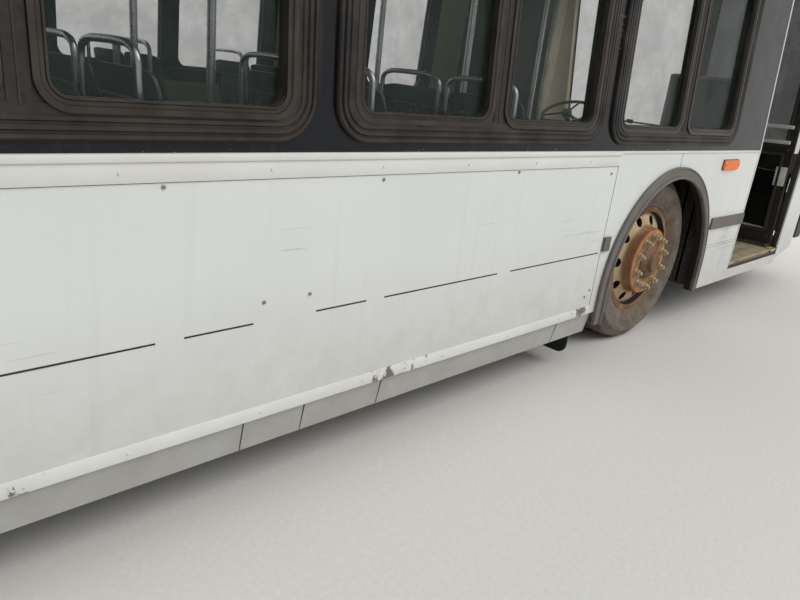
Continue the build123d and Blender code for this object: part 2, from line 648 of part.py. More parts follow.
# The beam's left half in Y and Z, round from its underside to its top; the right half is its mirror image
BEAM_PROFILE = ((0, BEAM_LOW_Z[0]), (730, BEAM_LOW_Z[0]), (830, BEAM_END_Z[0]), (KINGPIN_Y, BEAM_END_Z[0]),
                (KINGPIN_Y, BEAM_END_Z[1]), (760, BEAM_END_Z[1]), (660, BEAM_LOW_Z[1]), (0, BEAM_LOW_Z[1]))
SPRING_PAD_HALF = 70
SPRING_PAD_SINK = 5
EYE_HALF = 65
EYE_R = 45
with BuildPart() as front_axle:
    with BuildSketch(Plane.YZ.offset(FRONT_AXLE_X - EYE_R)) as beam:
        with BuildLine():
            Polyline(*BEAM_PROFILE, close=True)
        make_face()
        mirror(about=Plane.YZ)
    extrude(amount=2 * EYE_R)
    for side in (-1, 1):
        block((FRONT_AXLE_X - SPRING_PAD_HALF, FRONT_AXLE_X + SPRING_PAD_HALF), side_range(side, *RAIL_Y),
              (BEAM_LOW_Z[1] - SPRING_PAD_SINK, RAIL_Z[0]))
        pivot = (FRONT_AXLE_X, side * KINGPIN_Y)
        bar((*pivot, AXLE_Z - EYE_HALF), (*pivot, AXLE_Z + EYE_HALF), EYE_R)
        bar((*pivot, AXLE_Z - EYE_HALF - OVER), (*pivot, AXLE_Z + EYE_HALF + OVER), KINGPIN_R + RUNNING_GAP,
            Mode.SUBTRACT)
parts["front_axle"] = front_axle

# Knuckles: a fork on the kingpin, the spindle for the hub, and the track arm with its ball pin.
LUG_Z = (70, 105)
LUG_R = 55
WEB_Y = (KINGPIN_Y + 50, KINGPIN_Y + 85)
WEB_HALF = 50
SPINDLE_Y = (KINGPIN_Y + 60, KINGPIN_Y + 300)
ARM_DROP = 88
TRACK_ARM_R = 16
BALL_SOCKET_R = 26
BALL_PIN_R = 12
TIE_ROD_R = 16
TIE_EYE_R = 28
TIE_EYE_HALF = 16
for side, name in ((1, "knuckle_left"), (-1, "knuckle_right")):
    pivot = (FRONT_AXLE_X, side * KINGPIN_Y)
    ball = (FRONT_AXLE_X - TRACK_ARM, side * KINGPIN_Y)
    web_x = (FRONT_AXLE_X - WEB_HALF, FRONT_AXLE_X + WEB_HALF)
    with BuildPart() as knuckle:
        for low_z, high_z in ((AXLE_Z + LUG_Z[0], AXLE_Z + LUG_Z[1]), (AXLE_Z - LUG_Z[1], AXLE_Z - LUG_Z[0])):
            bar((*pivot, low_z), (*pivot, high_z), LUG_R)
            block(web_x, side_range(side, KINGPIN_Y, WEB_Y[1]), (low_z, high_z))
        block(web_x, side_range(side, *WEB_Y), (AXLE_Z - LUG_Z[1], AXLE_Z + LUG_Z[1]))
        bar((*pivot, AXLE_Z - LUG_Z[1] + OVER), (*pivot, AXLE_Z + LUG_Z[1] - OVER), KINGPIN_R)
        bar((FRONT_AXLE_X, side * SPINDLE_Y[0], AXLE_Z), (FRONT_AXLE_X, side * SPINDLE_Y[1], AXLE_Z), SPINDLE_R)
        bar((FRONT_AXLE_X - WEB_HALF + OVER, side * KINGPIN_Y, AXLE_Z - ARM_DROP), (*ball, AXLE_Z - ARM_DROP),
            TRACK_ARM_R)
        bar((*ball, TIE_EYE_Z + TIE_EYE_HALF + 5), (*ball, AXLE_Z - LUG_Z[0] + 2), BALL_SOCKET_R)
        bar((*ball, TIE_EYE_Z - TIE_EYE_HALF - 3), (*ball, TIE_EYE_Z + TIE_EYE_HALF + OVER), BALL_PIN_R)
    parts[name] = knuckle

# Tie rod: it joins the two track arms behind the axle, cranked down to pass under the floor. Its right eye is
# where the closed linkage is opened; both track arms point straight back, so it stays on its pin all the same.
with BuildPart() as tie_rod:
    rod_x = FRONT_AXLE_X - TRACK_ARM
    bar((rod_x, -TIE_CRANK_Y, TIE_ROD_Z), (rod_x, TIE_CRANK_Y, TIE_ROD_Z), TIE_ROD_R)
    for side in (-1, 1):
        crank = (rod_x, side * TIE_CRANK_Y, TIE_ROD_Z)
        with Locations(crank):
            Sphere(TIE_ROD_R)
        bar(crank, (rod_x, side * (KINGPIN_Y - BALL_PIN_R), TIE_EYE_Z - TIE_EYE_HALF / 2), TIE_ROD_R)
    for side in (-1, 1):
        eye = (rod_x, side * KINGPIN_Y)
        bar((*eye, TIE_EYE_Z - TIE_EYE_HALF), (*eye, TIE_EYE_Z + TIE_EYE_HALF), TIE_EYE_R)
        bar((*eye, TIE_EYE_Z - 2 * TIE_EYE_R), (*eye, TIE_EYE_Z + 2 * TIE_EYE_R), BALL_PIN_R + RUNNING_GAP,
            Mode.SUBTRACT)
parts["tie_rod"] = tie_rod

# Rear axle: the tube with its final drive, spring beams, and air bellows up to the rails.
AXLE_TUBES = ((760, 72), (1000, REAR_SPINDLE_R))
FINAL_DRIVE_R = 190
SPRING_BEAM_X = (REAR_AXLE_X - 430, REAR_AXLE_X + 300)
SPRING_BEAM_Z = (390, 450)
BELLOWS_X = (REAR_AXLE_X - 310, REAR_AXLE_X + 190)
BELLOWS_R = 110
with BuildPart() as rear_axle:
    for reach, radius in AXLE_TUBES:
        bar((REAR_AXLE_X, -reach, AXLE_Z), (REAR_AXLE_X, reach, AXLE_Z), radius)
    with Locations((REAR_AXLE_X, 0, AXLE_Z)):
        Sphere(FINAL_DRIVE_R)
    for side in (-1, 1):
        block(SPRING_BEAM_X, side_range(side, *RAIL_Y), SPRING_BEAM_Z)
        for bellows_x in BELLOWS_X:
            bellows = (bellows_x, side * sum(RAIL_Y) / 2)
            bar((*bellows, SPRING_BEAM_Z[1]), (*bellows, REAR_RAIL_Z[0]), BELLOWS_R)
parts["rear_axle"] = rear_axle

# Wheels and tyres. A profile is drawn as (radius, distance out from the tyre's middle) and revolved.
TYRE_PROFILE = ((BEAD_R, 93), (301, 95), (304, 108), (340, 128), (385, TYRE_HALF_WIDTH), (442, 127), (TYRE_R, 90))
RIM_PROFILE = ((272, -RIM_HALF_WIDTH), (300, -RIM_HALF_WIDTH), (300, -96), (BEAD_R, -94), (BEAD_R, 94), (300, 96),
               (300, RIM_HALF_WIDTH), (272, RIM_HALF_WIDTH))
DISC_PROFILE = ((60, DISC_FACE - 12), (166, DISC_FACE - 12), (264, 58), (274, 62), (274, 72), (174, DISC_FACE),
                (60, DISC_FACE))
HAND_HOLES = 10
HAND_HOLE_R = 22
HAND_HOLE_RING = 226
FRONT_BORE_R = SPINDLE_R + RUNNING_GAP
REAR_BORE_R = REAR_SPINDLE_R + RUNNING_GAP
FRONT_HUB = (
    # barrel on the spindle, cap over its end, brake drum
    ((FRONT_BORE_R, -44), (95, -44), (95, 149), (FRONT_BORE_R, 149)),
    ((0, 156), (88, 156), (80, 178), (52, 182), (48, 200), (0, 200)),
    ((90, -16), (192, -16), (192, -95), (206, -95), (206, -4), (90, -4)),
)
REAR_HUB = (
    ((REAR_BORE_R, -306), (118, -306), (118, -75), (REAR_BORE_R, -75)),
    ((0, -76), (118, -76), (112, -30), (60, -18), (0, -18)),
    ((110, -220), (192, -220), (192, -320), (206, -320), (206, -208), (110, -208)),
)


def wheel_plane(side, axle_x, middle_y):
    """A plane through the axle whose local Y points out of the bus, for profiles to revolve."""
    return Plane(origin=(axle_x, side * middle_y, AXLE_Z), x_dir=(1, 0, 0), z_dir=(0, 0, side))


def spin(side, axle_x, middle_y, points, outward=1, mode=Mode.ADD):
    """Revolve a profile about the axle's line."""
    plane = wheel_plane(side, axle_x, middle_y)
    with BuildSketch(plane) as profile:
        with BuildLine():
            Polyline(*[(radius, outward * out) for radius, out in points], close=True)
        make_face()
    revolve(profile.sketch, axis=Axis((axle_x, 0, AXLE_Z), (0, 1, 0)), mode=mode)


def tyre_ring(side, axle_x, middle_y):
    """One tyre, from bead to tread."""
    inner_half = [(radius, -out) for radius, out in reversed(TYRE_PROFILE)]
    spin(side, axle_x, middle_y, [*TYRE_PROFILE, *inner_half])


def rim_and_disc(side, axle_x, middle_y, outward):
    """One steel wheel: rim, dished disc and its hand holes."""
    spin(side, axle_x, middle_y, RIM_PROFILE)
    spin(side, axle_x, middle_y, DISC_PROFILE, outward)
    with BuildSketch(Plane(origin=(axle_x, side * (middle_y + outward * (DISC_FACE + OVER)), AXLE_Z),
                           x_dir=(1, 0, 0), z_dir=(0, -side * outward, 0))) as holes:
        with PolarLocations(HAND_HOLE_RING, HAND_HOLES):
            Circle(HAND_HOLE_R)
    extrude(holes.sketch, amount=DISC_FACE - OVER, mode=Mode.SUBTRACT)


for side, side_name in ((1, "left"), (-1, "right")):
    with BuildPart() as tyre_front:
        tyre_ring(side, FRONT_AXLE_X, WHEEL_Y)
    parts["tyre_front_" + side_name] = tyre_front
    with BuildPart() as wheel_front:
        rim_and_disc(side, FRONT_AXLE_X, WHEEL_Y, 1)
        for profile in FRONT_HUB:
            spin(side, FRONT_AXLE_X, WHEEL_Y, profile)
    parts["wheel_front_" + side_name] = wheel_front
    with BuildPart() as tyre_rear:
        tyre_ring(side, REAR_AXLE_X, WHEEL_Y)
        tyre_ring(side, REAR_AXLE_X, WHEEL_Y - 2 * DISC_FACE)
    parts["tyres_rear_" + side_name] = tyre_rear
    with BuildPart() as wheel_rear:
        rim_and_disc(side, REAR_AXLE_X, WHEEL_Y, -1)
        rim_and_disc(side, REAR_AXLE_X, WHEEL_Y - 2 * DISC_FACE, 1)
        for profile in REAR_HUB:
            spin(side, REAR_AXLE_X, WHEEL_Y, profile)
    parts["wheels_rear_" + side_name] = wheel_rear

# Front door: two leaves that slide and turn on arms at floor and header, standing open inside.
DOOR_LINE_Y = -1225
DOOR_POST_GAP = 70
LEAF_OFFSET = 40
LEAF_REACH = (-20, 440)
LEAF_GLASS_HALF = 3
ARM = 195
ARM_HALF = 13
ARM_T = 10
ARM_H = (8, 1962)
ARM_HUB_R = 20
ARM_EYE_R = 17
ARM_PIVOT_R = 12
LEAF_PIN_R = 9
BRACKET_HALF = 22
BRACKET_T = 20
BRACKET_X = (-18, 30)
GRAB_H = (780, 890)
GRAB_Y = (0, 420)
GRAB_FEET_Y = (20, 400)
GRAB_OFFSET = 25
GRAB_R = 13
GRAB_FOOT_R = 9


def door_plane(x, y):
    """A leaf's base plane: local X along the bus, local Y inboard, its normal leaning with the wall."""
    tilt = radians(DOOR_TILT)
    return Plane(origin=(x, y, DOOR_BASE_Z), x_dir=(1, 0, 0), z_dir=(0, sin(tilt), cos(tilt)))


def leaf_box(plane, x, y, height, mode=Mode.ADD):
    """A block in a leaf's own directions."""
    with BuildSketch(plane.offset(height[0])) as foot:
        with Locations(((x[0] + x[1]) / 2, (y[0] + y[1]) / 2)):
            Rectangle(x[1] - x[0], y[1] - y[0])
    extrude(foot.sketch, amount=height[1] - height[0], mode=mode)


def leaf_pin(plane, x, y, height, radius, mode=Mode.ADD):
    """An upright pin or bore in a leaf's own directions."""
    with BuildSketch(plane.offset(height[0])) as foot:
        with Locations((x, y)):
            Circle(radius)
    extrude(foot.sketch, amount=height[1] - height[0], mode=mode)


LEAF_TOP = DOOR_FOOT + DOOR_HEIGHT
LEAF_PANES = ((DOOR_FOOT + 90, 690), (760, LEAF_TOP - 80))
pane_y = (LEAF_REACH[0] + STILE, LEAF_REACH[1] - STILE)
for lean, place, post_x in ((1, "front", FRONT_DOORWAY[1]), (-1, "rear", FRONT_DOORWAY[0])):
    plane = door_plane(post_x - lean * DOOR_POST_GAP, DOOR_LINE_Y)
    faces = tuple(sorted((lean * (LEAF_OFFSET - DOOR_T / 2), lean * (LEAF_OFFSET + DOOR_T / 2))))
    with BuildPart() as leaf:
        leaf_box(plane, faces, LEAF_REACH, (DOOR_FOOT, LEAF_TOP))
        for pane in LEAF_PANES:
            leaf_box(plane, (-2 * LEAF_OFFSET, 2 * LEAF_OFFSET), pane_y, pane, Mode.SUBTRACT)
        bracket = tuple(sorted((lean * BRACKET_X[0], lean * BRACKET_X[1])))
        for height in ((DOOR_FOOT, DOOR_FOOT + BRACKET_T), (LEAF_TOP - BRACKET_T, LEAF_TOP - 2)):
            leaf_box(plane, bracket, (ARM - BRACKET_HALF, ARM + BRACKET_HALF), height)
        for height in ((ARM_H[0], DOOR_FOOT + 5), (LEAF_TOP - 6, ARM_H[1] + ARM_T)):
            leaf_pin(plane, 0, ARM, height, LEAF_PIN_R)
        for height in GRAB_H:
            bar(plane_point(plane, -lean * GRAB_OFFSET, GRAB_Y[0], height),
                plane_point(plane, -lean * GRAB_OFFSET, GRAB_Y[1], height), GRAB_R)
            for y in GRAB_FEET_Y:
                bar(plane_point(plane, lean * (LEAF_OFFSET - DOOR_T / 2 + 1), y, height),
                    plane_point(plane, -lean * GRAB_OFFSET, y, height), GRAB_FOOT_R)
    parts["front_door_leaf_" + place] = leaf
    with BuildPart() as leaf_glass:
        for pane in LEAF_PANES:
            leaf_box(plane, (lean * LEAF_OFFSET - LEAF_GLASS_HALF, lean * LEAF_OFFSET + LEAF_GLASS_HALF), pane_y, pane)
    parts["front_door_glass_" + place] = leaf_glass
    with BuildPart() as arms:
        for height in ARM_H:
            leaf_box(plane, (-ARM_HALF, ARM_HALF), (0, ARM), (height, height + ARM_T))
            leaf_pin(plane, 0, 0, (height, height + ARM_T), ARM_HUB_R)
            leaf_pin(plane, 0, ARM, (height, height + ARM_T), ARM_EYE_R)
            leaf_pin(plane, 0, ARM, (height - 1, height + ARM_T + 1), LEAF_PIN_R + RUNNING_GAP, Mode.SUBTRACT)
        for height in ((-8, ARM_H[0] + 1), (ARM_H[1] + ARM_T - 1, ARM_H[1] + ARM_T + 9)):
            leaf_pin(plane, 0, 0, height, ARM_PIVOT_R)
    parts["front_door_arms_" + place] = arms

# Rear door: two leaves that swing outward on hinges at the posts, closed at rest.
REAR_HINGE_Y = -1285
REAR_POST_GAP = 25
HINGE_PIN_R = 12
LEAF_JOINT = 10
REAR_LEAF_WIDTH = (REAR_DOORWAY[1] - REAR_DOORWAY[0] - LEAF_JOINT) / 2 - REAR_POST_GAP
for lean, place, post_x in ((1, "rear", REAR_DOORWAY[0]), (-1, "front", REAR_DOORWAY[1])):
    plane = door_plane(post_x + lean * REAR_POST_GAP, REAR_HINGE_Y)
    width = tuple(sorted((0, lean * REAR_LEAF_WIDTH)))
    pane_x = tuple(sorted((lean * STILE, lean * (REAR_LEAF_WIDTH - STILE))))
    with BuildPart() as rear_leaf:
        leaf_box(plane, width, (0, DOOR_T), (DOOR_FOOT, LEAF_TOP))
        for pane in LEAF_PANES:
            leaf_box(plane, pane_x, (-DOOR_T, 2 * DOOR_T), pane, Mode.SUBTRACT)
        for height in ((DOOR_FOOT - 16, DOOR_FOOT + 1), (LEAF_TOP - 1, LEAF_TOP + 16)):
            leaf_pin(plane, 0, 0, height, HINGE_PIN_R)
    parts["rear_door_leaf_" + place] = rear_leaf
    with BuildPart() as rear_leaf_glass:
        for pane in LEAF_PANES:
            leaf_box(plane, pane_x, (DOOR_T / 2 - LEAF_GLASS_HALF, DOOR_T / 2 + LEAF_GLASS_HALF), pane)
    parts["rear_door_glass_" + place] = rear_leaf_glass

# Door headers: the covers over the door machinery, inside above each doorway, rebated over the leaves' tops.
HEADER_Y = -1030
HEADER_REBATE_Y = -1120
with BuildPart() as door_headers:
    for doorway in (FRONT_DOORWAY, REAR_DOORWAY):
        block(doorway, (-HALF_WIDTH, HEADER_Y), HEADER_Z)
    add(inner, mode=Mode.INTERSECT)
    for doorway in (FRONT_DOORWAY, REAR_DOORWAY):
        block(doorway, (-HALF_WIDTH, HEADER_REBATE_Y), (0, WALL_TOP_Z), Mode.SUBTRACT)
parts["door_headers"] = door_headers

# Passenger seats as (front edge X, Y where the pair starts, floor height), two places to a pair.
SEAT_PAIR = 820
SEAT_START_Y = 385
LEFT_LOW_SEATS = (2420, 1680, 940, 200, -540, -1280)
RIGHT_LOW_SEATS = (2420, 1680, 940, 200)
RAISED_SEATS = (-3600, -4320)
SEAT_PROFILE = ((0, 400), (-380, 400), (-400, 380), (-520, 900), (-500, 930), (-470, 930), (-360, 450), (-10, 455))
SEAT_LEG_X = (-280, -180)
SEAT_LEG_Y = (SEAT_START_Y + 330, SEAT_START_Y + 430)
SEAT_LEG_TOP = 405
BENCH_HALF = 1130
BENCH_PROFILE = ((0, 0), (450, 0), (480, 420), (100, 400), (40, 900), (0, 900))
SEAT_ROWS = [(x, 1, FLOOR_Z) for x in LEFT_LOW_SEATS] + [(x, -1, FLOOR_Z) for x in RIGHT_LOW_SEATS]
SEAT_ROWS += [(x, side, RAISED_FLOOR_Z) for x in RAISED_SEATS for side in (-1, 1)]
with BuildPart() as passenger_seats:
    for front_x, side, floor_z in SEAT_ROWS:
        with BuildSketch(Plane(origin=(front_x, side * SEAT_START_Y, floor_z), x_dir=(1, 0, 0), z_dir=(0, -1, 0))):
            with BuildLine():
                Polyline(*SEAT_PROFILE, close=True)
            make_face()
        extrude(amount=-side * SEAT_PAIR)
        block((front_x + SEAT_LEG_X[0], front_x + SEAT_LEG_X[1]), side_range(side, *SEAT_LEG_Y),
              (floor_z, floor_z + SEAT_LEG_TOP))
    with BuildSketch(Plane(origin=(BULKHEAD_X, BENCH_HALF, PLATFORM_Z), x_dir=(1, 0, 0), z_dir=(0, -1, 0))):
        with BuildLine():
            Polyline(*BENCH_PROFILE, close=True)
        make_face()
    extrude(amount=2 * BENCH_HALF)
parts["passenger_seats"] = passenger_seats

# Driver's place: seat, dashboard and steering wheel.
DRIVER_Y = 740
SEAT_PEDESTAL = ((4560, 4840), 150, (FLOOR_Z, 700))
SEAT_CUSHION = ((4480, 4960), 250, (700, 820))
SEAT_BACK = ((4500, 810), (4390, 1500), (4480, 1500), (4600, 810))
SEAT_BACK_HALF = 240
with BuildPart() as driver_seat:
    for x_range, half, z_range in (SEAT_PEDESTAL, SEAT_CUSHION):
        block(x_range, (DRIVER_Y - half, DRIVER_Y + half), z_range)
    with BuildSketch(Plane.XZ.offset(-DRIVER_Y - SEAT_BACK_HALF)):
        with BuildLine():
            Polyline(*SEAT_BACK, close=True)
        make_face()
    extrude(amount=2 * SEAT_BACK_HALF)
parts["driver_seat"] = driver_seat

DASH_PROFILE = ((5480, FLOOR_Z), (5480, 700), (5400, 960), (5560, 1020), (6200, 1000), (6200, FLOOR_Z))
DASH_Y = (-660, 1240)
WHEEL_CENTRE = (5290, DRIVER_Y, 1120)
WHEEL_TILT = Plane(origin=WHEEL_CENTRE, z_dir=(-0.45, 0, 0.89))
WHEEL_RIM_R = 225
WHEEL_GRIP_R = 15
SPOKE_R = 9
SPOKE_REACH = 222
WHEEL_COLUMN = (
    # how far below and above the rim's plane, radius: the boss and the column
    (-30, 20, 45),
    (-330, 0, 24),
)
with BuildPart() as dashboard:
    with BuildSketch(Plane.XZ.offset(-DASH_Y[1])):
        with BuildLine():
            Polyline(*DASH_PROFILE, close=True)
        make_face()
    extrude(amount=DASH_Y[1] - DASH_Y[0])
    add(inner, mode=Mode.INTERSECT)
    with BuildSketch(Plane(origin=WHEEL_CENTRE, x_dir=WHEEL_TILT.x_dir, z_dir=WHEEL_TILT.y_dir)) as rim_section:
        with Locations((WHEEL_RIM_R, 0)):
            RegularPolygon(WHEEL_GRIP_R, 8)
    revolve(rim_section.sketch, axis=Axis(WHEEL_CENTRE, WHEEL_TILT.z_dir))
    for angle in (0, radians(120), radians(240)):
        bar(WHEEL_CENTRE, plane_point(WHEEL_TILT, SPOKE_REACH * cos(angle), SPOKE_REACH * sin(angle), 0), SPOKE_R)
    for low, high, radius in WHEEL_COLUMN:
        bar(plane_point(WHEEL_TILT, 0, 0, low), plane_point(WHEEL_TILT, 0, 0, high), radius)
parts["dashboard"] = dashboard

# Partitions: behind the driver, and beside the doorways.
PARTITIONS = (
    # X range, Y range, Z range
    ((4250, 4280), (340, 1240), (FLOOR_Z, 2000)),
    ((4330, 4360), (-1240, -640), (FLOOR_Z, 1500)),
    ((-740, -710), (-1240, -460), (FLOOR_Z, 1500)),
)
with BuildPart() as partitions:
    for x_range, y_range, z_range in PARTITIONS:
        block(x_range, y_range, z_range)
    add(inner, mode=Mode.INTERSECT)
parts["partitions"] = partitions

# Stanchions: steel poles from floor to ceiling, with a hand rail clamped beside them along each side of the aisle,
# left out across the rear doorway.
POLE_R = 17
POLE_Y = 350
POLES = (
    # floor height, X of the poles
    (FLOOR_Z, (4150, 2540, 1060, -420, -2040)),
    (RAISED_FLOOR_Z, (-3260, -4600)),
)
HAND_RAIL_Z = 1950
HAND_RAIL_Y = 384
HAND_RAIL_R = 15
HAND_RAILS = (
    # side, low X, high X
    (1, -4640, 4190),
    (-1, -4640, -2100),
    (-1, -460, 4190),
)
with BuildPart() as stanchions:
    for side in (-1, 1):
        for floor_z, poles_x in POLES:
            for pole_x in poles_x:
                bar((pole_x, side * POLE_Y, floor_z), (pole_x, side * POLE_Y, CROWN_Z), POLE_R)
    for side, low_x, high_x in HAND_RAILS:
        bar((low_x, side * HAND_RAIL_Y, HAND_RAIL_Z), (high_x, side * HAND_RAIL_Y, HAND_RAIL_Z), HAND_RAIL_R)
    add(inner, mode=Mode.INTERSECT)
parts["stanchions"] = stanchions

# Mirrors: a head on a bent arm at each front corner.
MIRROR_ARM = ((5500, 1190, 2200), (5960, 1420, 2260), (5960, 1420, 1700))
MIRROR_ARM_R = 16
MIRROR_HEAD = ((5925, 6005), (1310, 1530), (1720, 2130))
MIRROR_HEAD_R = 30
with BuildPart() as mirrors:
    for side in (-1, 1):
        root, bend, foot = [(x, side * y, z) for x, y, z in MIRROR_ARM]
        bar(root, bend, MIRROR_ARM_R)
        bar(bend, foot, MIRROR_ARM_R)
        with Locations(bend):
            Sphere(MIRROR_ARM_R)
        block(MIRROR_HEAD[0], side_range(side, *MIRROR_HEAD[1]), MIRROR_HEAD[2])
    head_depth = MIRROR_HEAD[0][1] - MIRROR_HEAD[0][0]
    fillet(mirrors.edges().filter_by(Axis.X).filter_by(lambda e: e.length > head_depth - 1), MIRROR_HEAD_R)
    add(outer, mode=Mode.SUBTRACT)
parts["mirrors"] = mirrors

os.makedirs("parts", exist_ok=True)
for name, builder in parts.items():
    builder.part.label = name
    export_step(builder.part, f"parts/{name}.step")
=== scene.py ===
from contextlib import contextmanager
from math import cos, pi, radians, sin

import bpy
from mathutils import Matrix, Vector


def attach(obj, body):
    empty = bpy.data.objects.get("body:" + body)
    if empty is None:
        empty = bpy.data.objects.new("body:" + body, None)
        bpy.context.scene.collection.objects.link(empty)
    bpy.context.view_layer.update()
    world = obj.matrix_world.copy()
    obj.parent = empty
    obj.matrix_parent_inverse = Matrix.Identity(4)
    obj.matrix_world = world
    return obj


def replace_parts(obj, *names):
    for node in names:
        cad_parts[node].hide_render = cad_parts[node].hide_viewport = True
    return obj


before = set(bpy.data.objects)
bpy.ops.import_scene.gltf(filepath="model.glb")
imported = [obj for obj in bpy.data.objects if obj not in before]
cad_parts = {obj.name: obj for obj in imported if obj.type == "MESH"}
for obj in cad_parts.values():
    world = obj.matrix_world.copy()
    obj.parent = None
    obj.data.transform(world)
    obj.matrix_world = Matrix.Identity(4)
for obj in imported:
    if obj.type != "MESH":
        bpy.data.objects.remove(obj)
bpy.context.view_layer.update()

# Camera
# A wide lens close to the right side, near the middle of the bus, held level with the windows and turned to
# look forwards and down at the front wheel.
camera_data = bpy.data.cameras.new("camera")
camera_data.sensor_width = 36
camera_data.lens = 29.79
camera_data.clip_end = 200
camera = bpy.data.objects.new("camera", camera_data)
bpy.context.scene.collection.objects.link(camera)
camera_right = Vector((0.7199, -0.6858, 0.1072))
camera_up = Vector((0.1544, 0.3088, 0.9385))
camera_forward = Vector((0.6767, 0.6590, -0.3282))
camera.matrix_world = Matrix.Translation((-0.277, -2.802, 1.337)) @ Matrix(
    (camera_right, camera_up, -camera_forward)).transposed().to_4x4()
bpy.context.scene.camera = camera
bpy.context.scene.view_settings.view_transform = "Standard"


# Studio
# A pale concrete-coloured floor under the tyres, and soft, wide lights: one overhead, one from towards the nose, as
# low sun reaches the bus in the photograph, and a weaker one on the left.
def linear(hex_colour):
    """An sRGB hex colour as the linear red, green, blue and alpha that a shader takes."""
    channels = [int(hex_colour[i:i + 2], 16) / 255 for i in (1, 3, 5)]
    return [c / 12.92 if c <= 0.04045 else ((c + 0.055) / 1.055) ** 2.4 for c in channels] + [1.0]


def wire(made, inputs):
    """Give a node's inputs a value, an sRGB hex colour, a socket, or the first output of another node."""
    for key, value in inputs.items():
        if isinstance(value, bpy.types.Node):
            value = value.outputs[0]
        if isinstance(value, bpy.types.NodeSocket):
            made.id_data.links.new(value, made.inputs[key])
        else:
            made.inputs[key].default_value = linear(value) if isinstance(value, str) else value


def node(tree, kind, inputs=None, stops=(), **settings):
    """Add one shader node with its settings and inputs, and on a colour ramp its stops, the two ends first."""
    made = tree.nodes.new("ShaderNode" + kind)
    for key, value in settings.items():
        setattr(made, key, value)
    for count, (position, colour) in enumerate(stops):
        stop = made.color_ramp.elements[count] if count < 2 else made.color_ramp.elements.new(position)
        stop.position = position
        stop.color = linear(colour)
    wire(made, inputs or {})
    return made


def start_material(name, colour, roughness, metallic=0.0):
    """A new material with its plain colour and gloss; returns it with its tree, shader and coordinates."""
    material = bpy.data.materials.new(name)
    material.use_nodes = True
    tree = material.node_tree
    shader = tree.nodes["Principled BSDF"]
    wire(shader, {"Base Color": colour, "Roughness": roughness, "Metallic": metallic})
    return material, tree, shader, node(tree, "TexCoord").outputs["Object"]


def placed(add, **settings):
    """Add a primitive with nothing else selected, and apply its size and place to its mesh."""
    bpy.ops.object.select_all(action="DESELECT")
    add(**settings)
    bpy.ops.object.transform_apply()
    return bpy.context.object


studio_floor = placed(bpy.ops.mesh.primitive_plane_add, size=120)
studio_floor.name = "studio_floor"
# Cast concrete: pale and matt, with specks of 17 mm.
floor_material, tree, shader, place = start_material("pale_studio_floor", "#CFCBC4", 0.85)
grain = node(tree, "TexNoise", {"Vector": place, "Scale": 60.0, "Detail": 6.0})
wire(shader, {"Base Color": node(tree, "ValToRGB", {"Fac": grain}, stops=((0.0, "#C6C2BA"), (1.0, "#D8D5CF")))})
studio_floor.data.materials.append(floor_material)

LAMPS = (
    # name, place, aimed at, how wide the light is, strength
    ("overhead_light", (0.0, -2.0, 11.0), (0.0, 0.0, 0.0), 1.4, 0.35),
    ("nose_light", (6.5, -8.0, 9.0), (2.5, -1.0, 1.0), 0.7, 1.5),
    ("left_light", (-4.0, 9.0, 9.0), (0.0, 1.0, 1.2), 0.9, 0.7),
)
for name, spot, aim, width, strength in LAMPS:
    lamp = bpy.data.lights.new(name, "SUN")
    lamp.angle = width
    lamp.energy = strength
    light = bpy.data.objects.new(name, lamp)
    bpy.context.scene.collection.objects.link(light)
    light.location = spot
    light.rotation_euler = (Vector(aim) - Vector(spot)).to_track_quat("-Z", "Y").to_euler()

world = bpy.data.worlds.new("studio_world")
bpy.context.scene.world = world
world.use_nodes = True
tree = world.node_tree
rays = node(tree, "LightPath")
glanced = node(tree, "Math", {0: rays.outputs["Is Camera Ray"], 1: rays.outputs["Is Glossy Ray"]}, operation="ADD")
ray = node(tree, "Math", {0: glanced, 1: rays.outputs["Is Transmission Ray"]}, operation="ADD", use_clamp=True)
glow = node(tree, "MixRGB", {"Fac": ray, "Color1": "#D3D7DB", "Color2": "#E9E9E7"})
power = node(tree, "MapRange", {"Value": ray, "To Min": 0.92, "To Max": 1.0})
wire(tree.nodes["Background"], {"Color": glow, "Strength": power})


# Painted body
# Aluminium side panels, a roof and moulded end caps, sprayed in white enamel and dulled by years outdoors. Inside
# they carry cream wall panels. Dust gathers low down, rain leaves faint streaks, and bushes leave thin scuffs.
def give(material, *names):
    """Give CAD nodes a material in their own slots."""
    for name in names:
        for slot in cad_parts[name].material_slots:
            slot.material = material


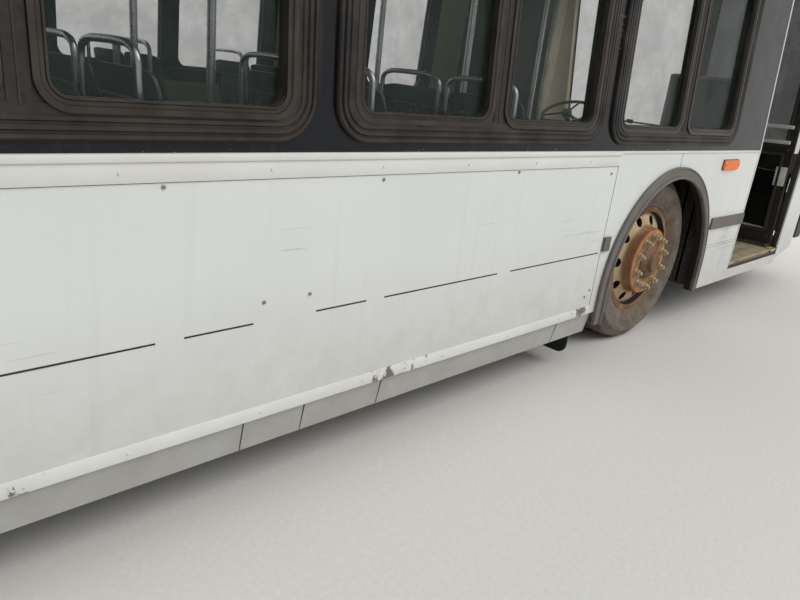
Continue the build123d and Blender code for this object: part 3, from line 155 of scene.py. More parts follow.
def painted_panel(name, paint, worn_paint, lining, gloss):
    """Old enamel outside and a laminate lining on the faces that point into the bus."""
    material, tree, shader, place = start_material(name, paint, gloss)
    axes = node(tree, "SeparateXYZ", {"Vector": place})
    cloud = node(tree, "TexNoise", {"Vector": place, "Scale": 1.3, "Detail": 5.0})
    faded = node(tree, "MixRGB", {"Fac": cloud, "Color1": paint, "Color2": worn_paint})
    tall = node(tree, "Mapping", {"Vector": place, "Scale": (28.0, 28.0, 0.9)})
    rain = node(tree, "TexNoise", {"Vector": tall, "Scale": 1.0, "Detail": 4.0})
    rain_mask = node(tree, "MapRange", {"Value": rain, "From Min": 0.58, "From Max": 0.8, "To Max": 0.10})
    streaked = node(tree, "MixRGB", {"Fac": rain_mask, "Color1": faded, "Color2": "#8E867A"})
    long = node(tree, "Mapping", {"Vector": place, "Rotation": (0.0, 0.04, 0.0), "Scale": (1.6, 1.6, 90.0)})
    scuff = node(tree, "TexNoise", {"Vector": long, "Scale": 1.0, "Detail": 3.0})
    patch = node(tree, "TexNoise", {"Vector": place, "Scale": 2.6, "Detail": 1.0})
    scuffs = node(tree, "Math", {0: scuff, 1: patch}, operation="MULTIPLY")
    scuff_mask = node(tree, "MapRange", {"Value": scuffs, "From Min": 0.395, "From Max": 0.44, "To Max": 0.24})
    below_roof = node(tree, "MapRange", {"Value": axes.outputs["Z"], "From Min": 2.5, "From Max": 2.3})
    side_scuffs = node(tree, "Math", {0: scuff_mask, 1: below_roof}, operation="MULTIPLY")
    scuffed = node(tree, "MixRGB", {"Fac": side_scuffs, "Color1": streaked, "Color2": "#6F6A62"})
    low = node(tree, "MapRange", {"Value": axes.outputs["Z"], "From Min": 0.75, "From Max": 0.22, "To Max": 0.75})
    splash = node(tree, "TexNoise", {"Vector": place, "Scale": 9.0, "Detail": 8.0, "Roughness": 0.7})
    dust_mask = node(tree, "Math", {0: low, 1: splash}, operation="MULTIPLY")
    dusty = node(tree, "MixRGB", {"Fac": dust_mask, "Color1": scuffed, "Color2": "#9C9080"})
    normal = node(tree, "TexCoord").outputs["Normal"]
    from_middle = node(tree, "VectorMath", {0: place, 1: (0.0, 0.0, -1.4)}, operation="ADD")
    flat = node(tree, "VectorMath", {0: from_middle, 1: (0.3, 1.0, 1.0)}, operation="MULTIPLY")
    facing = node(tree, "VectorMath", {0: normal, 1: flat}, operation="DOT_PRODUCT")
    inside = node(tree, "Math", {0: facing.outputs["Value"], 1: 0.0}, operation="LESS_THAN")
    # the engine bay is not lined: it is black inside
    rear = node(tree, "Math", {0: axes.outputs["X"], 1: -4.9}, operation="LESS_THAN")
    deep = node(tree, "Math", {0: axes.outputs["Z"], 1: 1.17}, operation="LESS_THAN")
    bay = node(tree, "Math", {0: rear, 1: deep}, operation="MULTIPLY")
    lined = node(tree, "MixRGB", {"Fac": bay, "Color1": lining, "Color2": "#24211E"})
    both = node(tree, "MixRGB", {"Fac": inside, "Color1": dusty, "Color2": lined})
    # the cut edges of the walls, as round the wheel arches, are black with undercoat
    sideways = node(tree, "SeparateXYZ", {"Vector": normal})
    slant = node(tree, "Math", {0: sideways.outputs["Y"]}, operation="ABSOLUTE")
    across = node(tree, "Math", {0: slant, 1: 0.5}, operation="LESS_THAN")
    off_middle = node(tree, "Math", {0: axes.outputs["Y"]}, operation="ABSOLUTE")
    in_wall = node(tree, "Math", {0: off_middle, 1: 1.2495}, operation="GREATER_THAN")
    under_belt = node(tree, "Math", {0: axes.outputs["Z"], 1: 1.09}, operation="LESS_THAN")
    cut = node(tree, "Math", {0: across, 1: in_wall}, operation="MULTIPLY")
    cut_edge = node(tree, "Math", {0: cut, 1: under_belt}, operation="MULTIPLY")
    coated = node(tree, "MixRGB", {"Fac": cut_edge, "Color1": both, "Color2": "#1B1916"})
    dull = node(tree, "MapRange", {"Value": splash, "From Min": 0.3, "From Max": 0.7, "To Min": gloss - 0.06,
                                   "To Max": gloss + 0.16})
    wave = node(tree, "TexNoise", {"Vector": place, "Scale": 3.0, "Detail": 1.0})
    relief = node(tree, "Bump", {"Height": wave, "Strength": 0.12, "Distance": 0.01})
    wire(shader, {"Base Color": coated, "Roughness": dull, "Normal": relief, "Specular IOR Level": 0.35})
    return material


# Sprayed enamel: a soft gloss faded in patches of 0.8 m, with rain streaks 35 mm wide and scuffs 10 mm high.
white_enamel = painted_panel("white_enamel", "#DDDEDA", "#CDCFCC", "#B9AE95", 0.38)
give(white_enamel, "lower_wall_left", "lower_wall_right", "roof", "front_cap", "rear_cap", "engine_door",
     "hatch_front", "hatch_rear")

# Side panel trims
# Extruded aluminium mouldings riveted over the edges of the side panels: a stepped ledge under the windows and a
# flat strip along the bottom, painted with the body and chipped down to the metal by kerbs and stones.
HALF_WIDTH = 1.295
BELT_Z = 1.092
PANEL_START_X = -5.45
PANEL_END_X = 2.602
REAR_DOORWAY_X = (-2.13, -0.772)
REAR_ARCH_X = (-3.55, -2.30)


def select_only(*pieces):
    """Select some pieces and nothing else, with the first one active."""
    bpy.ops.object.select_all(action="DESELECT")
    for piece in pieces:
        piece.select_set(True)
    bpy.context.view_layer.objects.active = pieces[0]


@contextmanager
def edit_mode(piece=None, kind="", wanted=None):
    """Edit mode with the whole active mesh selected, or only its parts of one kind that pass a test."""
    bpy.ops.object.mode_set(mode="EDIT")
    bpy.ops.mesh.select_all(action="DESELECT" if wanted else "SELECT")
    if wanted:
        bpy.ops.object.mode_set(mode="OBJECT")
        for part in getattr(piece.data, kind):
            part.select = wanted(part)
        bpy.ops.object.mode_set(mode="EDIT")
    yield
    bpy.ops.object.mode_set(mode="OBJECT")


def finish_with(piece, *modifiers):
    """Add modifiers to a piece as (kind, settings), and apply them in turn."""
    select_only(piece)
    for kind, settings in modifiers:
        made = piece.modifiers.new(kind.lower(), kind)
        for key, value in settings.items():
            setattr(made, key, value)
        bpy.ops.object.modifier_apply(modifier=made.name)
    return piece


def rounding(width):
    """The modifier that rounds a piece's sharp edges."""
    return "BEVEL", {"width": width, "segments": 2, "limit_method": "ANGLE"}


def join(pieces):
    """Join pieces into the first one."""
    select_only(*pieces)
    if len(pieces) > 1:
        bpy.ops.object.join()
    return pieces[0]


def finish_piece(pieces, name, material, body, slot, smooth=35):
    """Join pieces, name them, smooth their soft edges, and give them their material and body; slot is not used."""
    piece = join(pieces)
    piece.name = name
    piece.data.name = name
    piece.data.materials.clear()
    piece.data.materials.append(material)
    bpy.ops.object.shade_smooth_by_angle(angle=radians(smooth))
    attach(piece, body)
    return piece


def about(middle, half):
    """The two ends of a span from its middle."""
    return middle - half, middle + half


def spaced(start, pitch, count):
    """Places in a row, from the first one on."""
    return [start + pitch * step for step in range(count)]


def screw_head(x, y, z, out, radius):
    """One pan head with its rim bevelled, facing along Y."""
    head = placed(bpy.ops.mesh.primitive_cylinder_add, vertices=12, radius=radius, depth=0.004,
                  location=(x, y + out * 0.002, z), rotation=(pi / 2, 0, 0))
    return finish_with(head, rounding(0.0015))


def strip(x, y, z, edge=0.0):
    """A bar between two lengths, depths and heights, with rounded edges."""
    spans = (x, y, z)
    piece = placed(bpy.ops.mesh.primitive_cube_add, size=1, location=[(low + high) / 2 for low, high in spans],
                   scale=[abs(high - low) for low, high in spans])
    if edge > 0:
        with edit_mode():
            bpy.ops.mesh.bevel(offset=edge, segments=2)
    return piece


def wall_strip(side, length, height, proud, edge=0.0, sunk=0.003):
    """A bar set into a side wall, standing a little proud of the panels."""
    return strip(length, (side * (HALF_WIDTH - sunk), side * (HALF_WIDTH + proud)), height, edge)


def panel_rows(side, low):
    """Lengths of a trim along the panels, with gaps at the rear arch where it is low and at the rear doorway."""
    if low:
        stop, start = REAR_ARCH_X[0], (REAR_DOORWAY_X if side < 0 else REAR_ARCH_X)[1]
    elif side < 0:
        stop, start = REAR_DOORWAY_X
    else:
        return [(PANEL_START_X, PANEL_END_X)]
    return [(PANEL_START_X, stop), (start, PANEL_END_X)]


# Enamel over metal: clean high up, and low down chipped in dull spots of up to 40 mm with raised edges.
chipped_enamel, tree, shader, place = start_material("chipped_enamel", "#D6D7D3", 0.4)
stone = node(tree, "TexNoise", {"Vector": place, "Scale": 26.0, "Detail": 9.0, "Roughness": 0.75})
area = node(tree, "TexNoise", {"Vector": place, "Scale": 3.5, "Detail": 2.0})
chips = node(tree, "Math", {0: stone, 1: area}, operation="MULTIPLY")
axes = node(tree, "SeparateXYZ", {"Vector": place})
low = node(tree, "MapRange", {"Value": axes.outputs["Z"], "From Min": 0.9, "From Max": 0.3})
near_kerb = node(tree, "Math", {0: chips, 1: low}, operation="MULTIPLY")
chip_mask = node(tree, "MapRange", {"Value": near_kerb, "From Min": 0.335, "From Max": 0.35})
grime = node(tree, "TexNoise", {"Vector": place, "Scale": 5.0, "Detail": 6.0})
dirty = node(tree, "MixRGB", {"Fac": grime, "Color1": "#DEDFDB", "Color2": "#C9C6BE"})
worn = node(tree, "MixRGB", {"Fac": chip_mask, "Color1": dirty, "Color2": "#6B6259"})
relief = node(tree, "Bump", {"Height": chip_mask, "Strength": 0.4, "Distance": 0.001}, invert=True)
wire(shader, {"Base Color": worn, "Normal": relief})

TRIM_STRIPS = (
    # low and high Z, how far it stands proud
    (0.295, 0.338, 0.003),
    (1.023, 1.072, 0.004),
    (1.072, 1.0915, 0.009),
)
trims = []
for side in (-1, 1):
    # flat rivets, painted over with the trims
    for rivet_x in spaced(PANEL_START_X + 0.1, 0.405, 20):
        if side > 0 or not -2.2 < rivet_x < -0.7:
            trims.append(screw_head(rivet_x, side * (HALF_WIDTH + 0.0035), 1.048, side, 0.004))
            if not -3.6 < rivet_x < -2.2:
                trims.append(screw_head(rivet_x, side * (HALF_WIDTH + 0.0025), 0.316, side, 0.004))
    for low_z, high_z, proud in TRIM_STRIPS:
        for row in panel_rows(side, high_z < 0.5):
            trims.append(wall_strip(side, row, (low_z, high_z), proud, 0.0015, 0.002))
    nose_row = (PANEL_END_X + 0.004, 4.40 if side < 0 else 5.37)
    trims.append(wall_strip(side, nose_row, (1.080, 1.0915), 0.005, 0.0015, 0.002))
finish_piece(trims, "side_trims", chipped_enamel, "chassis", "white_paint")


def clouded(name, colour, roughness, tones, scale, detail, grain=0.5, relief=None, metallic=0.0):
    """A finish that drifts between two tones, with relief as (strength, depth); returns its parts and the blend."""
    material, tree, shader, place = start_material(name, colour, roughness, metallic)
    cloud = node(tree, "TexNoise", {"Vector": place, "Scale": scale, "Detail": detail, "Roughness": grain})
    blend = node(tree, "MixRGB", {"Fac": cloud, "Color1": tones[0], "Color2": tones[1]})
    wire(shader, {"Base Color": blend})
    if relief:
        wire(shader, {"Normal": node(tree, "Bump", {"Height": cloud, "Strength": relief[0], "Distance": relief[1]})})
    return material, tree, shader, place, blend


# The track of a rub rail that is no longer there: a dark slot in the side panel, cut away between its lengths.
# Packed road dirt and painted shade in the groove: nearly black and quite matt, with paler crumbs of 25 mm.
slot_dirt_and_shade = clouded("dirt_and_shade_slot", "#171513", 0.9, ("#0E0D0C", "#3A342E"), 40.0, 3.0)[0]
SLOTS_X = ((-0.55, 0.399), (0.478, 0.687), (0.909, 1.113), (1.193, 1.805), (1.891, 2.582), (-5.1, -4.4),
           (-4.3, -3.62))
slots = []
for side in (-1, 1):
    for slot_x in SLOTS_X:
        slots.append(wall_strip(side, slot_x, (0.6075, 0.6125), 0.0006))
    # seams of the flush panels round the front wheel arch
    slots.append(wall_strip(side, (3.262, 3.265), (1.008, 1.08), 0.0005))
    for seam_z in (0.492, 0.510):
        slots.append(wall_strip(side, (3.92, 4.39), (seam_z, seam_z + 0.0012), 0.0004))
    # a thin dark line along the ledge's lower edge: painted shadow under its lip
    for row in panel_rows(side, False):
        slots.append(wall_strip(side, row, (1.0215, 1.0235), 0.0008))
finish_piece(slots, "panel_slots", slot_dirt_and_shade, "chassis", "white_paint")

# Screws and rivets of zinc-plated steel: pan heads along the trims, with a few left in the open panel.
# Zinc plating: a dull grey metal gleam, with brown spots of 11 mm where it has worn thin.
zinc, tree, shader, place = start_material("zinc_plated_steel", "#8C8A84", 0.45, 1.0)
spots = node(tree, "TexNoise", {"Vector": place, "Scale": 90.0, "Detail": 4.0})
wire(shader, {"Base Color": node(tree, "ValToRGB", {"Fac": spots}, stops=((0.0, "#6A5A4A"), (1.0, "#A5A39C")))})
LOOSE_SCREWS = ((0.425, 1.012), (1.137, 1.008), (1.840, 1.014), (0.719, 0.670), (0.880, 0.671), (2.574, 0.424),
                (2.539, 0.393), (2.55, 0.99))
screws = [screw_head(x, side * HALF_WIDTH, z, side, 0.0055) for side in (-1, 1) for x, z in LOOSE_SCREWS]
finish_piece(screws, "panel_screws", zinc, "chassis", "white_paint")

# Skirts
# Sheet-metal sills under the side panels in light grey paint, dusty from the road, in lengths that butt together.
# Brushed paint: half matt, with smears of road dust about 140 mm across.
grey_paint = clouded("grey_sill_paint", "#A9ABA8", 0.5, ("#B4B6B3", "#918A7F"), 7.0, 8.0, 0.65, (0.08, 0.004))[0]
give(grey_paint, "skirts")
SKIRT_JOINTS_X = (0.674, 0.898, 1.235, 2.356, -0.9, -4.4, -4.9)
SKIRT_FLARE = 0.0226
joints = []
for side in (-1, 1):
    for joint_x in SKIRT_JOINTS_X:
        seam = strip(about(joint_x, 0.0015), (side * 1.2570, side * 1.2625), (0.1805, 0.294))
        with edit_mode(seam, "vertices", lambda corner: corner.co.z > 0.25):
            bpy.ops.transform.translate(value=(0, side * SKIRT_FLARE, 0))
        joints.append(seam)
finish_piece(joints, "skirt_joints", slot_dirt_and_shade, "chassis", "grey_paint")

# Window band
# Black gloss panels and posts between the windows, leaning in above the belt. Each window is two sliding panes in a
# black anodised frame, set in the body with a ribbed rubber surround whose corners are round.
# Gloss enamel: it mirrors its surroundings, and flakes to pale primer in spots of 30 mm at the belt.
black_gloss = painted_panel("black_gloss_enamel", "#101216", "#1B1C1F", "#C9BD9F", 0.14)
tree = black_gloss.node_tree
shader = tree.nodes["Principled BSDF"]
place = node(tree, "TexCoord").outputs["Object"]
flakes = node(tree, "TexNoise", {"Vector": place, "Scale": 34.0, "Detail": 5.0, "Roughness": 0.6})
height = node(tree, "SeparateXYZ", {"Vector": place})
foot = node(tree, "MapRange", {"Value": height.outputs["Z"], "From Min": 1.122, "From Max": 1.100})
worn_off = node(tree, "Math", {0: flakes, 1: foot}, operation="MULTIPLY")
bare = node(tree, "MapRange", {"Value": worn_off, "From Min": 0.66, "From Max": 0.68})
sound = shader.inputs["Base Color"].links[0].from_socket
flaked = node(tree, "MixRGB", {"Fac": bare, "Color1": sound, "Color2": "#C8C8C2"})
wire(shader, {"Base Color": flaked, "Specular IOR Level": 0.22})
give(black_gloss, "window_wall_left", "window_wall_right")

# Extruded rubber: a satin black that has bloomed brown in patches of 170 mm.
ribbed_rubber, tree, shader, place = start_material("ribbed_window_rubber", "#1D1A18", 0.55)
bloom = node(tree, "TexNoise", {"Vector": place, "Scale": 6.0, "Detail": 7.0, "Roughness": 0.6})
bloom_shade = node(tree, "ValToRGB", {"Fac": bloom}, stops=((0.35, "#171413"), (0.75, "#403932")))
relief = node(tree, "Bump", {"Height": bloom, "Strength": 0.15, "Distance": 0.002})
wire(shader, {"Base Color": bloom_shade, "Normal": relief, "Specular IOR Level": 0.3})
give(ribbed_rubber, "window_frames")
# Black anodising: a thin metallic sheen, browned in patches of 70 mm.
black_anodised = clouded("black_anodised_frame", "#242120", 0.38, ("#1C1A19", "#4B443D"), 14.0, 6.0, metallic=0.6)[0]


def tinted_glass(name, tint, haze_amount, depth=0.13):
    """Safety glass: clear with a green-grey tint, a little dust, and mirror-like at a low angle."""
    material, tree, shader, place = start_material(name, tint, 0.03)
    dust = node(tree, "TexNoise", {"Vector": place, "Scale": 5.0, "Detail": 8.0, "Roughness": 0.7})
    film = node(tree, "MapRange", {"Value": dust, "From Min": 0.35, "From Max": 0.8, "To Min": depth,
                                   "To Max": depth + haze_amount})
    dull = node(tree, "MapRange", {"Value": dust, "From Min": 0.4, "From Max": 0.8, "To Min": 0.02, "To Max": 0.12})
    wire(shader, {"Alpha": film, "Roughness": dull, "IOR": 1.52, "Specular IOR Level": 0.6})
    return material


# Toughened glass: clear grey-green under a film of dust, in clouds of 200 mm that dull its reflections.
side_window_glass = tinted_glass("tinted_side_glass", "#22342F", 0.16)
give(side_window_glass, "side_glass", "rear_door_glass_front", "rear_door_glass_rear")
# The front door's glass is tinted nearly black, and little shows through it.
give(tinted_glass("dark_door_glass", "#101614", 0.15, 0.62), "front_door_glass_front", "front_door_glass_rear")

LEAN = 0.0575959
WINDOW_Z = 1.680
WINDOW_HEIGHT = 1.12
PANE_HEIGHT = 1.012
# Frame width, pane width, and how far each pane stands from the window's middle.
SLIDING = (1.46, 0.58, (-0.345, 0.345))
FIXED = (0.96, 0.78, (0.0,))
WINDOWS = (
    # centre X, kind, sides
    (3.189, SLIDING, (-1, 1)),
    (1.659, SLIDING, (-1, 1)),
    (0.129, SLIDING, (-1, 1)),
    (-1.401, SLIDING, (1,)),
    (-2.931, SLIDING, (-1, 1)),
    (-4.461, SLIDING, (-1, 1)),
    (4.860, FIXED, (1,)),
)


def stepped_ring(x, z, width, height, radius, steps):
    """A frame in X and Z facing -Y at Y 0: a round-cornered outline inset step by step as (inset, rise)."""
    bpy.ops.object.select_all(action="DESELECT")
    bpy.ops.mesh.primitive_plane_add(size=1, location=(x, 0, z), rotation=(pi / 2, 0, 0))
    ring = bpy.context.object
    ring.scale = (width, height, 1)
    bpy.ops.object.transform_apply()
    with edit_mode():
        bpy.ops.mesh.bevel(offset=radius, segments=9, affect="VERTICES")
        for inset, rise in steps:
            bpy.ops.mesh.inset(thickness=inset, depth=rise)
        bpy.ops.mesh.delete(type="FACE")
    return ring


def mirror(piece):
    """Turn a piece over to the other side of Y 0, with its faces kept outwards."""
    piece.data.transform(Matrix.Diagonal((1, -1, 1, 1)))
    piece.data.flip_normals()


def lean_against(piece, side, y):
    """Set a piece drawn at Y 0 against one wall of the window band, leaning in from the belt."""
    select_only(piece)
    with edit_mode():
        bpy.ops.transform.rotate(value=LEAN, orient_axis="X", center_override=(0, 0, BELT_Z))
    piece.data.transform(Matrix.Translation((0, -y, 0)))
    if side > 0:
        mirror(piece)
    return piece


# The rubber surround: three ribs, then a land, then a lip round the panes.
SURROUND_STEPS = ((0.004, 0.006), (0.008, 0.0), (0.003, -0.005), (0.004, 0.0), (0.003, 0.006), (0.009, 0.0),
                  (0.003, -0.005), (0.004, 0.0), (0.003, 0.004), (0.008, 0.0), (0.003, -0.004), (0.022, 0.0),
                  (0.002, -0.012))
# The anodised frame of one pane: a flat land with a glazing bead.
PANE_STEPS = ((0.002, 0.010), (0.014, 0.0), (0.003, -0.005), (0.008, 0.0), (0.002, 0.003), (0.005, 0.0),
              (0.003, -0.018))
surrounds, pane_frames, channels = [], [], []
for centre_x, (frame_width, pane_width, shifts), sides in WINDOWS:
    for side in sides:
        for facing_in, wall_y in ((False, HALF_WIDTH + 0.0085), (True, HALF_WIDTH - 0.0535)):
            surround = stepped_ring(centre_x, WINDOW_Z, frame_width, WINDOW_HEIGHT, 0.12, SURROUND_STEPS)
            if facing_in:
                mirror(surround)
            surrounds.append(lean_against(surround, side, wall_y))
        for shift in shifts:
            pane_frame = stepped_ring(centre_x + shift, WINDOW_Z, pane_width + 0.062, PANE_HEIGHT, 0.075, PANE_STEPS)
            pane_frames.append(lean_against(pane_frame, side, HALF_WIDTH + 0.002 + (0.004 if shift > 0 else 0.0)))
        if len(shifts) > 1:
            for half, depth, kind in ((0.0235, (-0.0105, 0.0), channels), (0.002, (-0.0125, -0.010), pane_frames)):
                kind.append(lean_against(strip(about(centre_x, half), depth, (1.190, 2.170)), side, HALF_WIDTH))
finish_piece(surrounds, "window_surrounds", ribbed_rubber, "chassis", "window_rubber", 30)
finish_piece(channels, "sash_channels", slot_dirt_and_shade, "chassis", "window_rubber", 30)
finish_piece(pane_frames, "pane_frames", black_anodised, "chassis", "window_rubber", 30)

# Rubber trims
# Extruded grey rubber: rub rails along the side, and flares with a rolled inner bead round the wheel arches. The
# sun has bleached them, and the mud flaps behind the front wheels have stayed black.
# Bleached rubber: matt, an uneven grey in patches of 125 mm.
bleached_rubber, tree, shader, place, faded = clouded(
    "bleached_rubber", "#5E5953", 0.75, ("#4A4641", "#7C766D"), 8.0, 8.0, 0.65, (0.2, 0.003))
axes = node(tree, "SeparateXYZ", {"Vector": place})
low = node(tree, "Math", {0: axes.outputs["Z"], 1: 0.2255}, operation="LESS_THAN")
wire(shader, {"Base Color": node(tree, "MixRGB", {"Fac": low, "Color1": faded, "Color2": "#161514"})})
give(bleached_rubber, "rubber_trims")

FRONT_AXLE_X = 3.274
REAR_AXLE_X = -2.924
ARCH_Z = 0.395
ARCH_FOOT_Z = 0.2275
# Beads round each arch as (radius of the arch line, radius of the bead, how far it stands out).
ARCH_BEADS = ((0.557, 0.008, 0.010), (0.608, 0.006, 0.006))


def close_up(fill=False):
    """Merge doubled corners, close the ends if wanted, and turn all faces outwards."""
    bpy.ops.mesh.select_all(action="SELECT")
    bpy.ops.mesh.remove_doubles(threshold=0.0001)
    if fill:
        bpy.ops.mesh.fill_holes(sides=0)
    bpy.ops.mesh.normals_make_consistent(inside=False)


beads = []
for side in (-1, 1):
    for axle_x in (FRONT_AXLE_X, REAR_AXLE_X):
        for arch_r, bead_r, out in ARCH_BEADS:
            beads.append(placed(bpy.ops.mesh.primitive_circle_add, vertices=8, radius=bead_r,
                                location=(axle_x + arch_r, side * (1.302 + out), ARCH_FOOT_Z)))
            with edit_mode():
                bpy.ops.mesh.extrude_region_move(TRANSFORM_OT_translate={"value": (0, 0, ARCH_Z - ARCH_FOOT_Z)})
                bpy.ops.mesh.spin(steps=36, angle=pi, center=(axle_x, side * 1.3, ARCH_Z), axis=(0, 1, 0))
                bpy.ops.mesh.extrude_region_move(TRANSFORM_OT_translate={"value": (0, 0, ARCH_FOOT_Z - ARCH_Z)})
                close_up()
finish_piece(beads, "arch_beads", bleached_rubber, "chassis", "grey_rubber", 60)

# Wheels and tyres
# Commercial radial tyres, worn and coated in grey dust, on pressed steel discs whose paint has gone to orange rust.
# Ten studs with sleeved nuts hold each disc to its hub.
AXLE_Z = 0.470


def axle_distance(tree, place):
    """How far a point is from the nearer axle line, seen from the side."""
    where = node(tree, "SeparateXYZ", {"Vector": place})
    gaps = []
    for axle_x in (FRONT_AXLE_X, REAR_AXLE_X):
        gap = node(tree, "Math", {0: where.outputs["X"], 1: axle_x}, operation="SUBTRACT")
        gaps.append(node(tree, "Math", {0: gap}, operation="ABSOLUTE"))
    nearer = node(tree, "Math", {0: gaps[0], 1: gaps[1]}, operation="MINIMUM")
    rise = node(tree, "Math", {0: where.outputs["Z"], 1: AXLE_Z}, operation="SUBTRACT")
    flat_gap = node(tree, "CombineXYZ", {"X": nearer, "Y": rise})
    return node(tree, "VectorMath", {0: flat_gap}, operation="LENGTH").outputs["Value"]


# Tyre rubber: matt under dust caked in patches of 90 mm, with moulded rings 12 mm apart and rust by the rim.
dusty_tyre, tree, shader, place = start_material("dusty_tyre_rubber", "#4A443D", 0.9)
cake = node(tree, "TexNoise", {"Vector": place, "Scale": 11.0, "Detail": 9.0, "Roughness": 0.7})
cake_shade = node(tree, "ValToRGB", {"Fac": cake}, stops=((0.3, "#38332E"), (0.7, "#776D60")))
from_axle = axle_distance(tree, place)
near_rim = node(tree, "MapRange", {"Value": from_axle, "From Min": 0.350, "From Max": 0.300, "To Max": 0.8})
stain = node(tree, "Math", {0: near_rim, 1: cake}, operation="MULTIPLY")
rust_wash = node(tree, "MixRGB", {"Fac": stain, "Color1": cake_shade, "Color2": "#80604A"})
rings = node(tree, "Math", {0: from_axle, 1: 520.0}, operation="MULTIPLY")
moulded = node(tree, "Math", {0: rings}, operation="SINE")
pale_ring = node(tree, "MapRange", {"Value": moulded, "From Min": 0.2, "To Max": 0.16})
ringed = node(tree, "MixRGB", {"Fac": pale_ring, "Color1": rust_wash, "Color2": "#9A8F80"})
relief = node(tree, "Bump", {"Height": cake, "Strength": 0.25, "Distance": 0.003})
wire(shader, {"Base Color": ringed, "Normal": relief})

# Painted steel gone to rust: dull orange and tan in patches of 110 mm, rough with pits of 8 mm.
rusty_steel, tree, shader, place = start_material("rusty_wheel_steel", "#8A5A34", 0.75, 0.15)
patch = node(tree, "TexNoise", {"Vector": place, "Scale": 9.0, "Detail": 9.0, "Roughness": 0.72})
rust_shade = node(tree, "ValToRGB", {"Fac": patch}, stops=((0.38, "#4A2C1C"), (0.62, "#DCC39A"), (0.52, "#A06A38")))
outer_tan = node(tree, "TexNoise", {"Vector": place, "Scale": 4.0, "Detail": 3.0})
bleach = node(tree, "MapRange", {"Value": outer_tan, "From Min": 0.4, "From Max": 0.65, "To Min": 0.1, "To Max": 0.7})
sandy = node(tree, "MixRGB", {"Fac": bleach, "Color1": rust_shade, "Color2": "#B89A70"})
from_axle = axle_distance(tree, place)
zones = node(tree, "ValToRGB", {"Fac": from_axle}, stops=((0.155, "#7D5C3C"), (0.285, "#3F2E22"), (0.172, "#B5793F"),
                                                          (0.188, "#6B3A1A"), (0.203, "#BFA683"), (0.252, "#D3C2A2"),
                                                          (0.266, "#5F412B")))
painted = node(tree, "MixRGB", {"Fac": 0.66, "Color1": sandy, "Color2": zones})
# painted shade: the walls of the hand holes and the rim's barrel are darkened nearly black, as if in shadow
facing = node(tree, "SeparateXYZ", {"Vector": node(tree, "TexCoord").outputs["Normal"]})
outward = node(tree, "Math", {0: facing.outputs["Y"]}, operation="ABSOLUTE")
hidden = node(tree, "Math", {0: outward, 1: 0.6}, operation="LESS_THAN")
beyond_cup = node(tree, "Math", {0: from_axle, 1: 0.197}, operation="GREATER_THAN")
painted_shade_walls = node(tree, "Math", {0: hidden, 1: beyond_cup}, operation="MULTIPLY")
dark_walls = node(tree, "MixRGB", {"Fac": painted_shade_walls, "Color1": painted, "Color2": "#1F1712"})
pits = node(tree, "TexNoise", {"Vector": place, "Scale": 120.0, "Detail": 5.0})
relief = node(tree, "Bump", {"Height": pits, "Strength": 0.35, "Distance": 0.001})
wire(shader, {"Base Color": dark_walls, "Normal": relief})

# Greasy cast iron: dark, with a low metal gleam and brown smears of 33 mm.
greasy_hub = clouded("greasy_hub_iron", "#4B3B2E", 0.6, ("#231C17", "#8A6848"), 30.0, 7.0, metallic=0.3)[0]
# Plated steel: a faint metal gleam under tan dust in spots of 17 mm.
nut_steel = clouded("dusty_nut_steel", "#A39170", 0.6, ("#5A4530", "#D6C6A4"), 60.0, 6.0, metallic=0.3)[0]


def turned(x, y, z, out, rings, sides, closed=True):
    """A piece turned about a line along Y, drawn ring by ring as (radius, distance out); closed joins the ends."""
    radius, reach = rings[0]
    piece = placed(bpy.ops.mesh.primitive_circle_add, vertices=sides, radius=radius, rotation=(pi / 2, 0, 0),
                   location=(x, y + out * reach, z))
    with edit_mode():
        for next_radius, next_reach in rings[1:] + (rings[:1] if closed else ()):
            bpy.ops.mesh.extrude_edges_move(TRANSFORM_OT_translate={"value": (0, out * (next_reach - reach), 0)})
            grow = next_radius / radius
            bpy.ops.transform.resize(value=(grow, 1, grow), center_override=(x, y + out * next_reach, z))
            radius, reach = next_radius, next_reach
        close_up(fill=True)
    return piece


SIDEWALL = ((0.284, 0.093), (0.300, 0.095), (0.304, 0.108), (0.312, 0.114), (0.318, 0.114), (0.322, 0.119),
            (0.352, 0.131), (0.356, 0.1335), (0.361, 0.1325), (0.385, 0.1375), (0.412, 0.136), (0.416, 0.1375),
            (0.424, 0.1360), (0.428, 0.1315), (0.446, 0.121), (0.462, 0.108), (0.468, 0.098))
TREAD_GROOVES = (0.066, 0.024, -0.024, -0.066)
TREAD_R = 0.470
GROOVE_R = 0.458
tyre_rings = list(SIDEWALL) + [(TREAD_R, 0.090)]
for groove in TREAD_GROOVES:
    tyre_rings += [(TREAD_R, groove + 0.006), (GROOVE_R, groove + 0.004), (GROOVE_R, groove - 0.004),
                   (TREAD_R, groove - 0.006)]
tyre_rings += [(TREAD_R, -0.090)] + [(radius, -reach) for radius, reach in reversed(SIDEWALL)]

